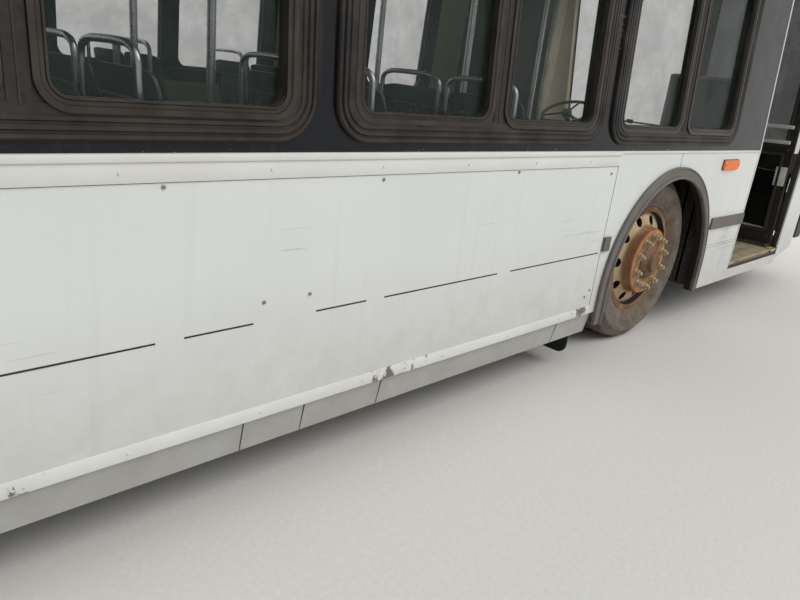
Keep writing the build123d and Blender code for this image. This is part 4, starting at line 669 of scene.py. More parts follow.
WHEEL_Y = 1.082
TWIN_GAP = 0.320
TYRES = (
    # node that the piece stands for, body, axle X, side, distances of the tyres' middles from the bus's middle
    ("tyre_front_left", "wheel_front_left", FRONT_AXLE_X, 1, (WHEEL_Y,)),
    ("tyre_front_right", "wheel_front_right", FRONT_AXLE_X, -1, (WHEEL_Y,)),
    ("tyres_rear_left", "wheels_rear_left", REAR_AXLE_X, 1, (WHEEL_Y, WHEEL_Y - TWIN_GAP)),
    ("tyres_rear_right", "wheels_rear_right", REAR_AXLE_X, -1, (WHEEL_Y, WHEEL_Y - TWIN_GAP)),
)
for node_name, body, axle_x, side, middles in TYRES:
    rounds = []
    for middle_y in middles:
        hub_middle = Vector((axle_x, side * middle_y, AXLE_Z))

        def worn_block(face):
            """Every other block of both shoulders, which wear has left lower."""
            spot = face.center - hub_middle
            shoulder = 0.099 < abs(spot.y) < 0.1075 and spot.xz.length > 0.462
            return shoulder and int((spot.xz.angle_signed(Vector((1, 0))) + pi) / pi * 48) % 2 == 0

        tyre = turned(axle_x, side * middle_y, AXLE_Z, side, tuple(tyre_rings), 96)
        with edit_mode(tyre, "polygons", worn_block):
            bpy.ops.mesh.extrude_region_shrink_fatten(TRANSFORM_OT_shrink_fatten={"value": -0.005})
        rounds.append(tyre)
    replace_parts(finish_piece(rounds, "dressed_" + node_name, dusty_tyre, body, "tyre", 30), node_name)

# Each wheel: a drop-centre rim, a dished disc with ten hand holes, then nuts and studs on the bolt face.
RIM_RINGS = ((0.272, -0.106), (0.300, -0.106), (0.302, -0.102), (0.300, -0.096), (0.286, -0.093), (0.284, -0.088),
             (0.284, 0.088), (0.286, 0.093), (0.300, 0.096), (0.302, 0.102), (0.300, 0.106), (0.272, 0.106),
             (0.270, 0.100), (0.268, 0.06), (0.262, 0.02), (0.262, -0.05), (0.268, -0.09), (0.270, -0.104))
DISC_RINGS = ((0.060, 0.148), (0.160, 0.148), (0.170, 0.144), (0.176, 0.098), (0.184, 0.088), (0.258, 0.060),
              (0.266, 0.056), (0.272, 0.062), (0.272, 0.074), (0.264, 0.072), (0.256, 0.078), (0.204, 0.098),
              (0.196, 0.103), (0.190, 0.112), (0.188, 0.146), (0.184, 0.156), (0.174, 0.160), (0.060, 0.160))
HAND_HOLES = 10
HAND_HOLE_RING = 0.226
STUDS = 10
BOLT_CIRCLE = 0.1425
HUB_RINGS = ((0.100, 0.158), (0.098, 0.166), (0.088, 0.172), (0.080, 0.180), (0.066, 0.183), (0.056, 0.186),
             (0.052, 0.198), (0.046, 0.203), (0.002, 0.204))
DRUM_RINGS = ((0.0385, -0.044), (0.095, -0.044), (0.206, -0.095), (0.206, -0.010), (0.100, -0.004),
              (0.100, 0.150), (0.0385, 0.150))
REAR_DRUM_RINGS = ((0.0605, -0.300), (0.206, -0.300), (0.206, -0.215), (0.118, -0.205), (0.118, -0.085),
                   (0.0605, -0.085))
REAR_HUB_RINGS = ((0.118, -0.080), (0.116, -0.040), (0.110, -0.030), (0.070, -0.024), (0.062, -0.018),
                  (0.002, -0.016))


def steel_disc(axle_x, y, out):
    """One pressed steel wheel facing out, with its hand holes cut."""
    rim = turned(axle_x, y, AXLE_Z, out, RIM_RINGS, 72)
    disc = turned(axle_x, y, AXLE_Z, out, DISC_RINGS, 72)
    cutters = []
    for count in range(HAND_HOLES):
        angle = 2 * pi * count / HAND_HOLES
        bpy.ops.mesh.primitive_cylinder_add(
            vertices=20, radius=0.0265, depth=0.12, rotation=(pi / 2, 0, 0),
            location=(axle_x + HAND_HOLE_RING * cos(angle), y + out * 0.11, AXLE_Z + HAND_HOLE_RING * sin(angle)))
        cutters.append(bpy.context.object)
    cutter = join(cutters)
    bpy.ops.object.transform_apply()
    finish_with(disc, ("BOOLEAN", {"object": cutter}))
    bpy.data.objects.remove(cutter)
    return join([rim, disc])


SLEEVE_RINGS = ((0.002, 0.0), (0.0215, 0.0), (0.0215, 0.006), (0.0185, 0.009), (0.002, 0.009))
STUD_RINGS = ((0.011, 0.020), (0.011, 0.038), (0.0095, 0.041), (0.002, 0.041))


def wheel_nut(x, y, z, out):
    """A sleeved wheel nut on its stud: a hexagon, a round sleeve with a chamfer, and the stud's end."""
    nut = placed(bpy.ops.mesh.primitive_cylinder_add, vertices=6, radius=0.0185, depth=0.020,
                 rotation=(pi / 2, 0, 0), location=(x, y + out * 0.016, z))
    with edit_mode():
        bpy.ops.mesh.bevel(offset=0.0018, segments=2)
    return join([nut, turned(x, y, z, out, SLEEVE_RINGS, 16, False), turned(x, y, z, out, STUD_RINGS, 12, False)])


# The discs' places and which way each faces, the cap, the drum, and how far out the bolt face is.
FRONT_HUB = (((WHEEL_Y, 1),), HUB_RINGS, DRUM_RINGS, 0.160)
REAR_HUB = (((WHEEL_Y, -1), (WHEEL_Y - TWIN_GAP, 1)), REAR_HUB_RINGS, REAR_DRUM_RINGS, -0.148)
for node_name, axle_x, side, (discs, hub_rings, drum_rings, face_out) in (
        ("wheel_front_left", FRONT_AXLE_X, 1, FRONT_HUB), ("wheel_front_right", FRONT_AXLE_X, -1, FRONT_HUB),
        ("wheels_rear_left", REAR_AXLE_X, 1, REAR_HUB), ("wheels_rear_right", REAR_AXLE_X, -1, REAR_HUB)):
    rims = [steel_disc(axle_x, side * middle_y, side * facing) for middle_y, facing in discs]
    wheel = finish_piece(rims, "rims_" + node_name, rusty_steel, node_name, "wheel_steel")
    drum = turned(axle_x, side * WHEEL_Y, AXLE_Z, side, drum_rings, 64)
    cap = turned(axle_x, side * WHEEL_Y, AXLE_Z, side, hub_rings, 48, False)
    nuts = []
    for count in range(STUDS):
        angle = 2 * pi * (count + 0.5) / STUDS
        nuts.append(wheel_nut(axle_x + BOLT_CIRCLE * cos(angle), side * (WHEEL_Y + face_out),
                              AXLE_Z + BOLT_CIRCLE * sin(angle), side))
    finish_piece([cap, drum], "hub_" + node_name, greasy_hub, node_name, "wheel_steel")
    finish_piece(nuts, "nuts_" + node_name, nut_steel, node_name, "wheel_steel")
    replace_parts(wheel, node_name)

# Underframe and running gear
# Welded rails, wheel boxes with pressed ribs and forged axles, under a black bituminous coat that is caked with
# pale road dust. Air bellows carry the rear axle, and rod-shaped dampers stand beside the springs.
def mottled(name, tone, second_tone, roughness, patch_mm, grain_mm, relief, metallic=0.0):
    """A worn surface in two tones: patches of dirt or fading over a grain, which gives the relief too.

    Both sizes are in millimetres. A real grain is often finer, and is drawn as coarse as it needs to be to show.
    """
    material, tree, shader, place = start_material(name, tone, roughness, metallic)
    patches = node(tree, "TexNoise", {"Vector": place, "Scale": 1000.0 / patch_mm, "Detail": 7.0, "Roughness": 0.65})
    grain = node(tree, "TexNoise", {"Vector": place, "Scale": 1000.0 / grain_mm, "Detail": 2.0})
    both = node(tree, "Math", {0: patches, 1: grain}, operation="MULTIPLY")
    share = node(tree, "MapRange", {"Value": both, "From Min": 0.14, "From Max": 0.38})
    tones = node(tree, "MixRGB", {"Fac": share, "Color1": tone, "Color2": second_tone})
    smoother, rougher = max(roughness - 0.08, 0.02), min(roughness + 0.12, 1.0)
    dull = node(tree, "MapRange", {"Value": patches, "From Min": 0.3, "From Max": 0.7, "To Min": smoother,
                                   "To Max": rougher})
    bump = node(tree, "Bump", {"Height": grain, "Strength": relief, "Distance": grain_mm / 4000.0})
    wire(shader, {"Base Color": tones, "Roughness": dull, "Normal": bump})
    return material


def aim(piece, place, way):
    """Turn a piece drawn along Y at the origin so that it points another way, and set it at its place."""
    turn = Vector((0, 1, 0)).rotation_difference(Vector(way)).to_matrix().to_4x4()
    piece.data.transform(Matrix.Translation(place) @ turn)
    return piece


def round_part(rings, sides, place, way, closed=False):
    """A turned piece that stands at a place and points any way."""
    return aim(turned(0, 0, 0, 1, rings, sides, closed), place, way)


def pipe(points, radius, order=2, sides=2):
    """A round bar along points, closed at both ends; order 3 rounds its bends."""
    bpy.ops.object.select_all(action="DESELECT")
    bpy.ops.curve.primitive_nurbs_path_add()
    rod = bpy.context.object
    rod.data.splines.clear()
    line = rod.data.splines.new("NURBS")
    line.points.add(len(points) - 1)
    for knot, spot in zip(line.points, points):
        knot.co = (*spot, 1.0)
    line.order_u = order
    line.use_endpoint_u = True
    line.resolution_u = 1 if order == 2 else 6
    rod.data.bevel_depth = radius
    rod.data.bevel_resolution = sides
    rod.data.use_fill_caps = True
    bpy.ops.object.convert(target="MESH")
    bpy.ops.object.transform_apply()
    with edit_mode():
        close_up()
    return rod


# Bituminous coat: black and matt with a rough skin, under pale dust.
chassis_coat = mottled("bituminous_chassis_coat", "#171614", "#544B41", 0.82, 160, 6, 0.35)
give(chassis_coat, "underframe", "wheelhouses")
# Forged iron: dark scale with a slight metal gleam, browned with dust.
forged_iron = mottled("dusty_forged_iron", "#2B2723", "#6A5C4B", 0.75, 90, 5, 0.35, 0.3)
give(forged_iron, "front_axle", "knuckle_left", "knuckle_right", "tie_rod", "rear_axle")

ribs = []
for side in (-1, 1):
    for axle_x in (FRONT_AXLE_X, REAR_AXLE_X):
        ribs_y = [about(side * (0.66 + 0.065 * count), 0.009) for count in range(9)]
        for wall_x in (-0.605, 0.605):
            for rib_y in ribs_y:
                ribs.append(strip((axle_x + wall_x, axle_x + wall_x + (0.012 if wall_x > 0 else -0.012)), rib_y,
                                  (0.25, 1.0), 0.003))
        for rib_y in ribs_y:
            ribs.append(strip(about(axle_x, 0.59), rib_y, (1.027, 1.041), 0.003))
finish_piece(ribs, "wheelhouse_ribs", chassis_coat, "chassis", "frame_steel")

# Moulded rubber: matt black, greyed with dust in patches of 60 mm.
bellows_rubber = mottled("dusty_bellows_rubber", "#1B1A19", "#4C453D", 0.8, 60, 4, 0.2)
BELLOWS_RINGS = ((0.100, 0.0), (0.118, 0.014), (0.122, 0.035), (0.112, 0.060), (0.112, 0.072), (0.122, 0.096),
                 (0.118, 0.124), (0.100, 0.140))
JOINT_RINGS = ((0.002, -0.03), (0.062, -0.03), (0.070, -0.02), (0.070, 0.02), (0.062, 0.03), (0.002, 0.03))
DAMPERS = (
    # foot X and Z, head X and Z, Y
    (REAR_AXLE_X + 0.20, 0.47, REAR_AXLE_X + 0.30, 0.66, 0.34),
    (FRONT_AXLE_X + 0.11, 0.20, FRONT_AXLE_X + 0.16, 0.29, 0.52),
)
bellows, dampers = [], []
for side in (-1, 1):
    for shift in (-0.31, 0.19):
        bellows.append(round_part(BELLOWS_RINGS, 32, (REAR_AXLE_X + shift, side * 0.42, 0.46), (0, 0, 1), True))
    for foot_x, foot_z, head_x, head_z, damper_y in DAMPERS:
        foot = (foot_x, side * damper_y, foot_z)
        head = (head_x, side * damper_y, head_z)
        middle = tuple((low + high) / 2 for low, high in zip(foot, head))
        dampers += [pipe((foot, head), 0.012), pipe((foot, middle), 0.026, sides=3)]
finish_piece(bellows, "air_bellows", bellows_rubber, "chassis", "grey_rubber", 50)
dampers.append(pipe(((-3.10, 0, 0.47), (-4.94, 0, 0.60)), 0.045, sides=4))
dampers += [round_part(JOINT_RINGS, 20, (x, 0, z), (1, 0, -0.07)) for x, z in ((-3.16, 0.474), (-4.88, 0.596))]
finish_piece(dampers, "dampers_and_shaft", forged_iron, "chassis", "axle_iron", 40)

# The engine stays one block, with its head cover, sump, pulleys and belt on it, in cast iron dark with oil.
# Oily cast iron: a half-wet metal gleam between brown crusts.
oily_iron = mottled("oily_cast_iron", "#23211F", "#5A4B3A", 0.5, 70, 4, 0.3, 0.4)
give(oily_iron, "engine")
fittings = [strip((-5.72, -5.02), (-0.20, 0.20), (1.074, 1.135), 0.018),
            strip((-5.70, -5.05), (-0.19, 0.19), (0.335, 0.405), 0.02),
            strip((-5.60, -5.10), (0.335, 0.40), (0.88, 1.02), 0.02)]
for cover_x in spaced(-5.64, 0.11, 6):
    fittings.append(strip((cover_x, cover_x + 0.03), (-0.205, 0.205), (1.12, 1.141), 0.004))
PULLEYS = ((0.0, 0.60, 0.105), (-0.20, 0.86, 0.060), (0.20, 0.88, 0.070))
BACKWARDS = (-1, 0, 0)
belt_rounds = []
for pulley_y, pulley_z, rim_r in PULLEYS:
    groove_r, belt_r = rim_r - 0.008, rim_r - 0.002
    pulley_rings = ((0.002, 0.0), (rim_r, 0.0), (rim_r, 0.006), (groove_r, 0.009), (groove_r, 0.031),
                    (rim_r, 0.034), (rim_r, 0.040), (0.03, 0.040), (0.028, 0.052), (0.002, 0.052))
    fittings.append(round_part(pulley_rings, 32, (-5.818, pulley_y, pulley_z), BACKWARDS))
    belt_rings = ((0.002, 0.0), (belt_r, 0.0), (belt_r, 0.018), (0.002, 0.018))
    belt_rounds.append(round_part(belt_rings, 32, (-5.829, pulley_y, pulley_z), BACKWARDS))
finish_piece(fittings, "engine_fittings", oily_iron, "chassis", "engine_iron")
belt = join(belt_rounds)
with edit_mode():
    bpy.ops.mesh.convex_hull()
finish_piece([belt], "fan_belt", bellows_rubber, "chassis", "grey_rubber", 30)

# Floor, steps and ramp
# Plywood decks under a hard-wearing rubber covering with mineral flecks, walked pale along the aisle. Each step has
# an aluminium nosing with a yellow grit insert, and the folding ramp is aluminium plate with grit strips.
# Rubber with mineral flecks: matt, walked pale in patches of 420 mm, and dark on its underside.
flooring = mottled("flecked_rubber_flooring", "#6B6152", "#A3937A", 0.72, 420, 5, 0.2)
tree = flooring.node_tree
shader = tree.nodes["Principled BSDF"]
covering = shader.inputs["Base Color"].links[0].from_socket
spot = node(tree, "TexCoord")
below = node(tree, "SeparateXYZ", {"Vector": spot.outputs["Normal"]})
height = node(tree, "SeparateXYZ", {"Vector": spot.outputs["Object"]})
down = node(tree, "Math", {0: below.outputs["Z"], 1: -0.3}, operation="LESS_THAN")
upright = node(tree, "Math", {0: below.outputs["Z"], 1: 0.3}, operation="LESS_THAN")
near_road = node(tree, "Math", {0: height.outputs["Z"], 1: 0.336}, operation="LESS_THAN")
low_edge = node(tree, "Math", {0: upright, 1: near_road}, operation="MULTIPLY")
rearward = node(tree, "Math", {0: below.outputs["X"], 1: -0.3}, operation="LESS_THAN")
in_bay = node(tree, "Math", {0: height.outputs["X"], 1: -4.87}, operation="LESS_THAN")
bulkhead = node(tree, "Math", {0: rearward, 1: in_bay}, operation="MULTIPLY")
coated = node(tree, "Math", {0: down, 1: low_edge}, operation="MAXIMUM")
coated = node(tree, "Math", {0: coated, 1: bulkhead}, operation="MAXIMUM")
two_sided = node(tree, "MixRGB", {"Fac": coated, "Color1": covering, "Color2": "#2A2622"})
wire(shader, {"Base Color": two_sided})
give(flooring, "floor_deck")
# Extruded aluminium: bright metal, dulled by scratches in patches of 120 mm.
aluminium = mottled("scratched_aluminium", "#B5B0A6", "#8C857A", 0.42, 120, 3, 0.12, 0.85)
# Worn alloy plate: sandy with dirt and rough underfoot, with little metal shine left.
tread_alloy = mottled("worn_ramp_alloy", "#B3A283", "#7C6F59", 0.6, 140, 4, 0.3, 0.25)
give(tread_alloy, "ramp")
# Grit tapes: coarse and without gloss. Real grit is under 1 mm, and is drawn at 3 mm to show.
grit = mottled("worn_grit_tape", "#6A5F4C", "#94856A", 0.95, 60, 3, 0.8)
yellow_grit = mottled("yellow_grit_insert", "#C79A2C", "#8F7438", 0.9, 80, 3, 0.8)
# Edge X, top Z and half width of each step.
STEPS = ((-2.160, 0.560, 1.19), (-2.460, 0.780, 0.57), (-4.880, 1.180, 1.19))
SILLS_X = ((4.406, 4.517), (5.261, 5.372), (-2.124, -0.778))
nosings, inserts = [], []
for edge_x, top_z, reach_y in STEPS:
    across = (-reach_y, reach_y)
    nosings.append(strip((edge_x - 0.045, edge_x + 0.004), across, (top_z - 0.03, top_z + 0.003), 0.003))
    inserts.append(strip((edge_x - 0.036, edge_x - 0.006), across, (top_z + 0.001, top_z + 0.0045), 0.0015))
for low_x, high_x in SILLS_X:
    nosings.append(strip((low_x, high_x), (-1.2915, -1.235), (0.318, 0.343), 0.003))
    inserts.append(strip((low_x + 0.006, high_x - 0.006), (-1.272, -1.246), (0.342, 0.3445), 0.001))
finish_piece(nosings, "step_nosings", aluminium, "chassis", "floor_covering")
finish_piece(inserts, "step_inserts", yellow_grit, "chassis", "floor_covering")
tapes = [strip((4.56, 5.218), (tape_y, tape_y + 0.05), (0.3392, 0.3412), 0.0006)
         for tape_y in spaced(-1.20, 0.115, 8)]
finish_piece(tapes, "ramp_grit_strips", grit, "ramp", "ramp_alloy")
latch = [strip((4.84, 4.94), (-0.372, -0.330), (0.3385, 0.3425), 0.0015),
         pipe(((4.855, -0.351, 0.3435), (4.855, -0.351, 0.347), (4.925, -0.351, 0.347), (4.925, -0.351, 0.3435)),
              0.003)]
finish_piece(latch, "ramp_lift_handle", aluminium, "ramp", "ramp_alloy")

# Doorways
# Aluminium posts line both doorways, worn pale at the edge, with a hollow rubber seal along their inner corner. The
# door machinery sits behind cream laminate covers above the leaves.
# Laminate: smooth and half gloss, yellowed in patches of 300 mm.
cream_laminate = mottled("cream_laminate", "#C6BA9F", "#A99C82", 0.5, 300, 3, 0.08)
give(cream_laminate, "door_headers")
# Soft rubber: matt black with a brown bloom in patches of 90 mm.
door_rubber = mottled("door_seal_rubber", "#191716", "#3F3932", 0.7, 90, 3, 0.2)
DOORWAYS_X = ((4.404, 5.374), (-2.126, -0.776))
DOOR_HEAD_Z = 2.336
posts, seals, vents = [], [], []
for low_x, high_x in DOORWAYS_X:
    for post_x, inward in ((low_x, 1), (high_x, -1)):
        width = (post_x - inward * 0.010, post_x + inward * 0.005)
        posts.append(strip(width, (-1.2985, -1.286), (0.345, BELT_Z), 0.002))
        posts.append(lean_against(strip(width, (-0.0035, 0.009), (BELT_Z, DOOR_HEAD_Z), 0.002), -1, HALF_WIDTH))
        width = (post_x + inward * 0.001, post_x + inward * 0.009)
        seals.append(strip(width, (-1.287, -1.248), (0.350, BELT_Z), 0.0035))
        seals.append(lean_against(strip(width, (0.008, 0.047), (BELT_Z, DOOR_HEAD_Z), 0.0035), -1, HALF_WIDTH))
    posts.append(lean_against(strip((low_x, high_x), (-0.003, 0.043), (2.330, 2.338), 0.002), -1, HALF_WIDTH))
    # the vent slots and the seam below them are dark strips: painted shade in the openings
    for vent_x in spaced((low_x + high_x) / 2 - 0.135, 0.03, 10):
        vents.append(strip(about(vent_x, 0.004), (-1.031, -1.0285), (2.37, 2.46), 0.001))
    vents.append(strip((low_x + 0.02, high_x - 0.02), (-1.0315, -1.0292), (2.345, 2.349)))
finish_piece(posts, "door_posts", chipped_enamel, "chassis", "white_paint")
finish_piece(seals, "door_post_seals", door_rubber, "chassis", "window_rubber")
finish_piece(vents, "door_header_vents", slot_dirt_and_shade, "chassis", "interior_panel")

# Door leaves
# Extruded aluminium frames in black enamel, glazed in rubber beads, with a brush along the foot and soft rubber
# nosing on both upright edges. Pale powder-coated grab bars stand off the front leaves.
# Satin enamel: black, with dusty hand marks of 55 mm and hardly any relief.
door_enamel, tree, shader, place, enamel_tone = clouded(
    "black_door_enamel", "#131314", 0.35, ("#0D0D0E", "#35312C"), 18.0, 8.0, 0.7, (0.06, 0.002))
axes = node(tree, "SeparateXYZ", {"Vector": place})
off_middle = node(tree, "Math", {0: axes.outputs["X"], 1: 4.889}, operation="SUBTRACT")
from_middle = node(tree, "Math", {0: off_middle}, operation="ABSOLUTE")
between = node(tree, "Math", {0: from_middle, 1: 0.4342}, operation="LESS_THAN")
hand_height = node(tree, "Math", {0: axes.outputs["Z"], 1: 1.18, 2: 0.12}, operation="COMPARE")
grab_bar = node(tree, "Math", {0: between, 1: hand_height}, operation="MULTIPLY")
wire(shader, {"Base Color": node(tree, "MixRGB", {"Fac": grab_bar, "Color1": enamel_tone, "Color2": "#B9BAB6"})})
give(door_enamel, "front_door_leaf_front", "front_door_leaf_rear", "rear_door_leaf_front", "rear_door_leaf_rear")
# Greased steel: dark, with a soft metal shine.
give(mottled("greased_arm_steel", "#3A3835", "#6E675C", 0.5, 50, 3, 0.1, 0.7), "front_door_arms_front",
     "front_door_arms_rear")
DOOR_LEAN = 0.0335103
DOOR_BASE_Z = 0.350
LEAF_PANES = ((0.114, 0.690), (0.760, 1.874))
BEAD_STEPS = ((0.003, 0.005), (0.009, 0.0), (0.003, -0.003), (0.006, 0.0), (0.002, -0.012))
LEAVES = (
    # node, where its corner stands in X and Y, its turn, low and high width, near and far thickness
    ("front_door_leaf_front", 5.304, -1.225, pi / 2, (-0.020, 0.440), (-0.060, -0.020)),
    ("front_door_leaf_rear", 4.474, -1.225, pi / 2, (-0.020, 0.440), (0.020, 0.060)),
    ("rear_door_leaf_rear", -2.101, -1.285, 0.0, (0.0, 0.645), (0.0, 0.040)),
    ("rear_door_leaf_front", -0.801, -1.285, 0.0, (-0.645, 0.0), (0.0, 0.040)),
)
for leaf_name, corner_x, corner_y, turn, (low_w, high_w), (near_t, far_t) in LEAVES:
    on_leaf = Matrix.Translation((corner_x, corner_y, DOOR_BASE_Z)) @ Matrix.Rotation(-DOOR_LEAN, 4, "X") @ \
        Matrix.Rotation(turn, 4, "Z")
    beads = []
    for low_h, high_h in LEAF_PANES:
        for face_y in (near_t, far_t):
            bead = stepped_ring((low_w + high_w) / 2, (low_h + high_h) / 2, high_w - low_w - 0.096,
                                high_h - low_h + 0.028, 0.025, BEAD_STEPS)
            if face_y == far_t:
                mirror(bead)
            bead.data.transform(Matrix.Translation((0, face_y, 0)))
            beads.append(bead)
    for edge_w, out in ((low_w, -1), (high_w, 1)):
        beads.append(strip((edge_w - out * 0.002, edge_w + out * 0.0035), (near_t + 0.006, far_t - 0.006),
                           (0.030, 1.948), 0.0015))
    beads.append(strip((low_w + 0.02, high_w - 0.02), (near_t + 0.012, far_t - 0.012), (0.016, 0.026), 0.002))
    leaf_screws = [screw_head(screw_w, face_y, screw_h, out, 0.005) for screw_h in (0.07, 0.725, 1.915)
                   for screw_w in (low_w + 0.03, high_w - 0.03) for face_y, out in ((near_t, -1), (far_t, 1))]
    for parts, ending, finish, slot, smooth in ((beads, "_rubbers", door_rubber, "window_rubber", 30),
                                                (leaf_screws, "_screws", zinc, "black_paint", 35)):
        join(parts).data.transform(on_leaf)
        finish_piece(parts[:1], leaf_name + ending, finish, leaf_name, slot, smooth)
    if leaf_name == "front_door_leaf_front":
        # a small plate, left blank, low on the outer stile beside the grab bars
        # Stove enamel: smooth, off-white and half gloss.
        plate_enamel = mottled("white_plate_enamel", "#DAD9D3", "#B8B3A8", 0.4, 60, 3, 0.05)
        plate = strip((-0.016, 0.062), (far_t - 0.001, far_t + 0.002), (0.46, 0.60), 0.0012)
        plate.data.transform(on_leaf)
        finish_piece([plate], "blank_door_plate", plate_enamel, leaf_name, "white_paint")

# Passenger seats
# Moulded plastic shells on a cantilever steel frame, two places to a row, each with a foam seat pad and back pad in
# dark woven moquette that has a sewn channel inside its edge. A stainless grab handle arches over every back.
# Woven pile: no gloss but a soft sheen at low angles, with blue and brown flecks 24 mm apart on navy.
moquette, tree, shader, place = start_material("woven_moquette", "#1B2334", 0.95)
flecks = node(tree, "TexVoronoi", {"Vector": place, "Scale": 42.0})
fleck_mask = node(tree, "MapRange", {"Value": flecks, "From Min": 0.30, "From Max": 0.18})
fleck_pick = node(tree, "MixRGB", {"Fac": flecks.outputs["Color"], "Color1": "#5A4A3C", "Color2": "#566A8E"})
worn_cloth = node(tree, "TexNoise", {"Vector": place, "Scale": 4.0, "Detail": 5.0})
ground = node(tree, "MixRGB", {"Fac": worn_cloth, "Color1": "#141B2A", "Color2": "#2C3344"})
woven = node(tree, "MixRGB", {"Fac": fleck_mask, "Color1": ground, "Color2": fleck_pick})
# threads are 2 mm apart, drawn at 4 mm so that they show
warp = node(tree, "TexWave", {"Vector": place, "Scale": 78.0}, bands_direction="X")
weft = node(tree, "TexWave", {"Vector": place, "Scale": 78.0}, bands_direction="Y")
threads = node(tree, "Math", {0: warp.outputs["Fac"], 1: weft.outputs["Fac"]}, operation="ADD")
relief = node(tree, "Bump", {"Height": threads, "Strength": 0.25, "Distance": 0.001})
wire(shader, {"Base Color": woven, "Normal": relief, "Sheen Weight": 0.3})
# Moulded plastic: half gloss with a fine grain, rubbed paler in patches of 200 mm.
shell_plastic = mottled("moulded_seat_shell", "#23262B", "#3C3F45", 0.5, 200, 3, 0.12)
# Powder coat: an even, slightly metallic grey with a fine pebbled skin.
seat_frame_paint = mottled("grey_powder_coat", "#55575A", "#3E3D3B", 0.45, 80, 3, 0.1, 0.2)
# Brushed stainless: its lines draw reflections out round the tube, and hands have smudged it.
# The lines are drawn 4.5 mm apart, coarser than real brushing, to show.
brushed_stainless, tree, shader, place = start_material("brushed_stainless", "#B9BBBC", 0.3, 1.0)
brushing = node(tree, "Mapping", {"Vector": place, "Scale": (220.0, 220.0, 6.0)})
lines = node(tree, "TexNoise", {"Vector": brushing, "Scale": 1.0, "Detail": 3.0})
smudge = node(tree, "TexNoise", {"Vector": place, "Scale": 9.0, "Detail": 4.0})
satin = node(tree, "MapRange", {"Value": smudge, "From Min": 0.3, "From Max": 0.7, "To Min": 0.2, "To Max": 0.42})
steel_tone = node(tree, "MixRGB", {"Fac": lines, "Color1": "#9FA1A2", "Color2": "#CFD0D0"})
wire(shader, {"Roughness": satin, "Base Color": steel_tone})


def edge_ends(piece, edge):
    """The places of an edge's two ends."""
    return [piece.data.vertices[index].co for index in edge.vertices]


def drawn_sheet(path, low_y, high_y):
    """A sheet drawn out from one edge, point by point, along (x, z)."""
    sheet = placed(bpy.ops.mesh.primitive_plane_add, size=1)
    for corner in sheet.data.vertices:
        x, z = path[1] if corner.co.x > 0 else path[0]
        corner.co = (x, high_y if corner.co.y > 0 else low_y, z)

    def at_far_end(edge):
        return all((end.x - path[1][0]) ** 2 + (end.z - path[1][1]) ** 2 < 1e-9 for end in edge_ends(sheet, edge))

    with edit_mode():
        bpy.ops.mesh.select_mode(type="EDGE")
    with edit_mode(sheet, "edges", at_far_end):
        for (x, z), (next_x, next_z) in zip(path[1:], path[2:]):
            bpy.ops.mesh.extrude_edges_move(TRANSFORM_OT_translate={"value": (next_x - x, 0, next_z - z)})
        bpy.ops.mesh.select_mode(type="VERT")
    return sheet


def copy_to(piece, matrix):
    """A copy of a piece with its own mesh, set elsewhere."""
    copy = piece.copy()
    copy.data = piece.data.copy()
    bpy.context.scene.collection.objects.link(copy)
    copy.data.transform(matrix)
    return copy


CHANNEL_INSET = 0.025
CHANNEL_DEPTH = 0.005


def foam_pad(length, width, thick, voxel, swell):
    """An upholstered pad lying flat about the origin: its cover swollen by the foam, and sewn in along a channel."""
    pad = strip(about(0, length / 2), about(0, width / 2), about(0, thick / 2))

    def upright(edge):
        low, high = edge_ends(pad, edge)
        return abs(low.z - high.z) > thick / 2

    with edit_mode(pad, "edges", upright):
        bpy.ops.mesh.bevel(offset=0.05, segments=4)
    finish_with(pad, ("REMESH", {"mode": "VOXEL", "voxel_size": voxel}))
    starts = [corner.co.copy() for corner in pad.data.vertices]
    cloth = pad.modifiers.new("swelling", "CLOTH")
    cloth.settings.use_pressure = True
    cloth.settings.uniform_pressure_force = 4
    cloth.settings.effector_weights.gravity = 0
    for count in range(1, 21):
        bpy.context.scene.frame_set(count)
    bpy.ops.object.modifier_apply(modifier="swelling")
    bpy.context.scene.frame_set(1)
    for corner, start in zip(pad.data.vertices, starts):
        swollen = corner.co - start
        if swollen.length > swell:
            corner.co = start + swollen * (swell / swollen.length)
        edge_gap = min(length / 2 - abs(start.x), width / 2 - abs(start.y))
        if start.z > 0 and CHANNEL_INSET < edge_gap < CHANNEL_INSET + voxel:
            corner.co.z -= CHANNEL_DEPTH
    return pad


def tilted(piece, place, degrees):
    """Tip a piece drawn about the origin forwards or back, and set it at its place."""
    piece.data.transform(Matrix.Translation(place) @ Matrix.Rotation(radians(degrees), 4, "Y"))
    return piece


SHELL_PATH = ((0.000, 0.385), (0.004, 0.420), (-0.030, 0.432), (-0.350, 0.418), (-0.402, 0.440), (-0.425, 0.520),
              (-0.490, 0.860), (-0.506, 0.930))
SHELL_HALF = 0.2
BACK_FOOT_Z = 0.5
shell = drawn_sheet(SHELL_PATH, -SHELL_HALF, SHELL_HALF)
with edit_mode():
    for cut_y in (-0.1, 0.0, 0.1):
        bpy.ops.mesh.select_all(action="SELECT")
        bpy.ops.mesh.bisect(plane_co=(0, cut_y, 0), plane_no=(0, 1, 0))
for corner in shell.data.vertices:
    # the sides of the back and seat are dished forwards and up round the sitter
    dish = (abs(corner.co.y) / SHELL_HALF) ** 2 * 0.018
    corner.co.x += dish if corner.co.z > BACK_FOOT_Z else 0.0
    corner.co.z += 0.0 if corner.co.z > BACK_FOOT_Z else dish * 0.5
finish_with(shell, ("SUBSURF", {"levels": 2, "render_levels": 2}), ("SOLIDIFY", {"thickness": 0.009, "offset": 0.0}))
seat_pad = tilted(foam_pad(0.345, 0.36, 0.026, 0.016, 0.011), (-0.190, 0, 0.447), -2.5)
back_pad = tilted(foam_pad(0.385, 0.36, 0.022, 0.016, 0.010), (-0.440, 0, 0.680), 79)
DECK_Z = 0.340
PLATFORM_Z = 0.780
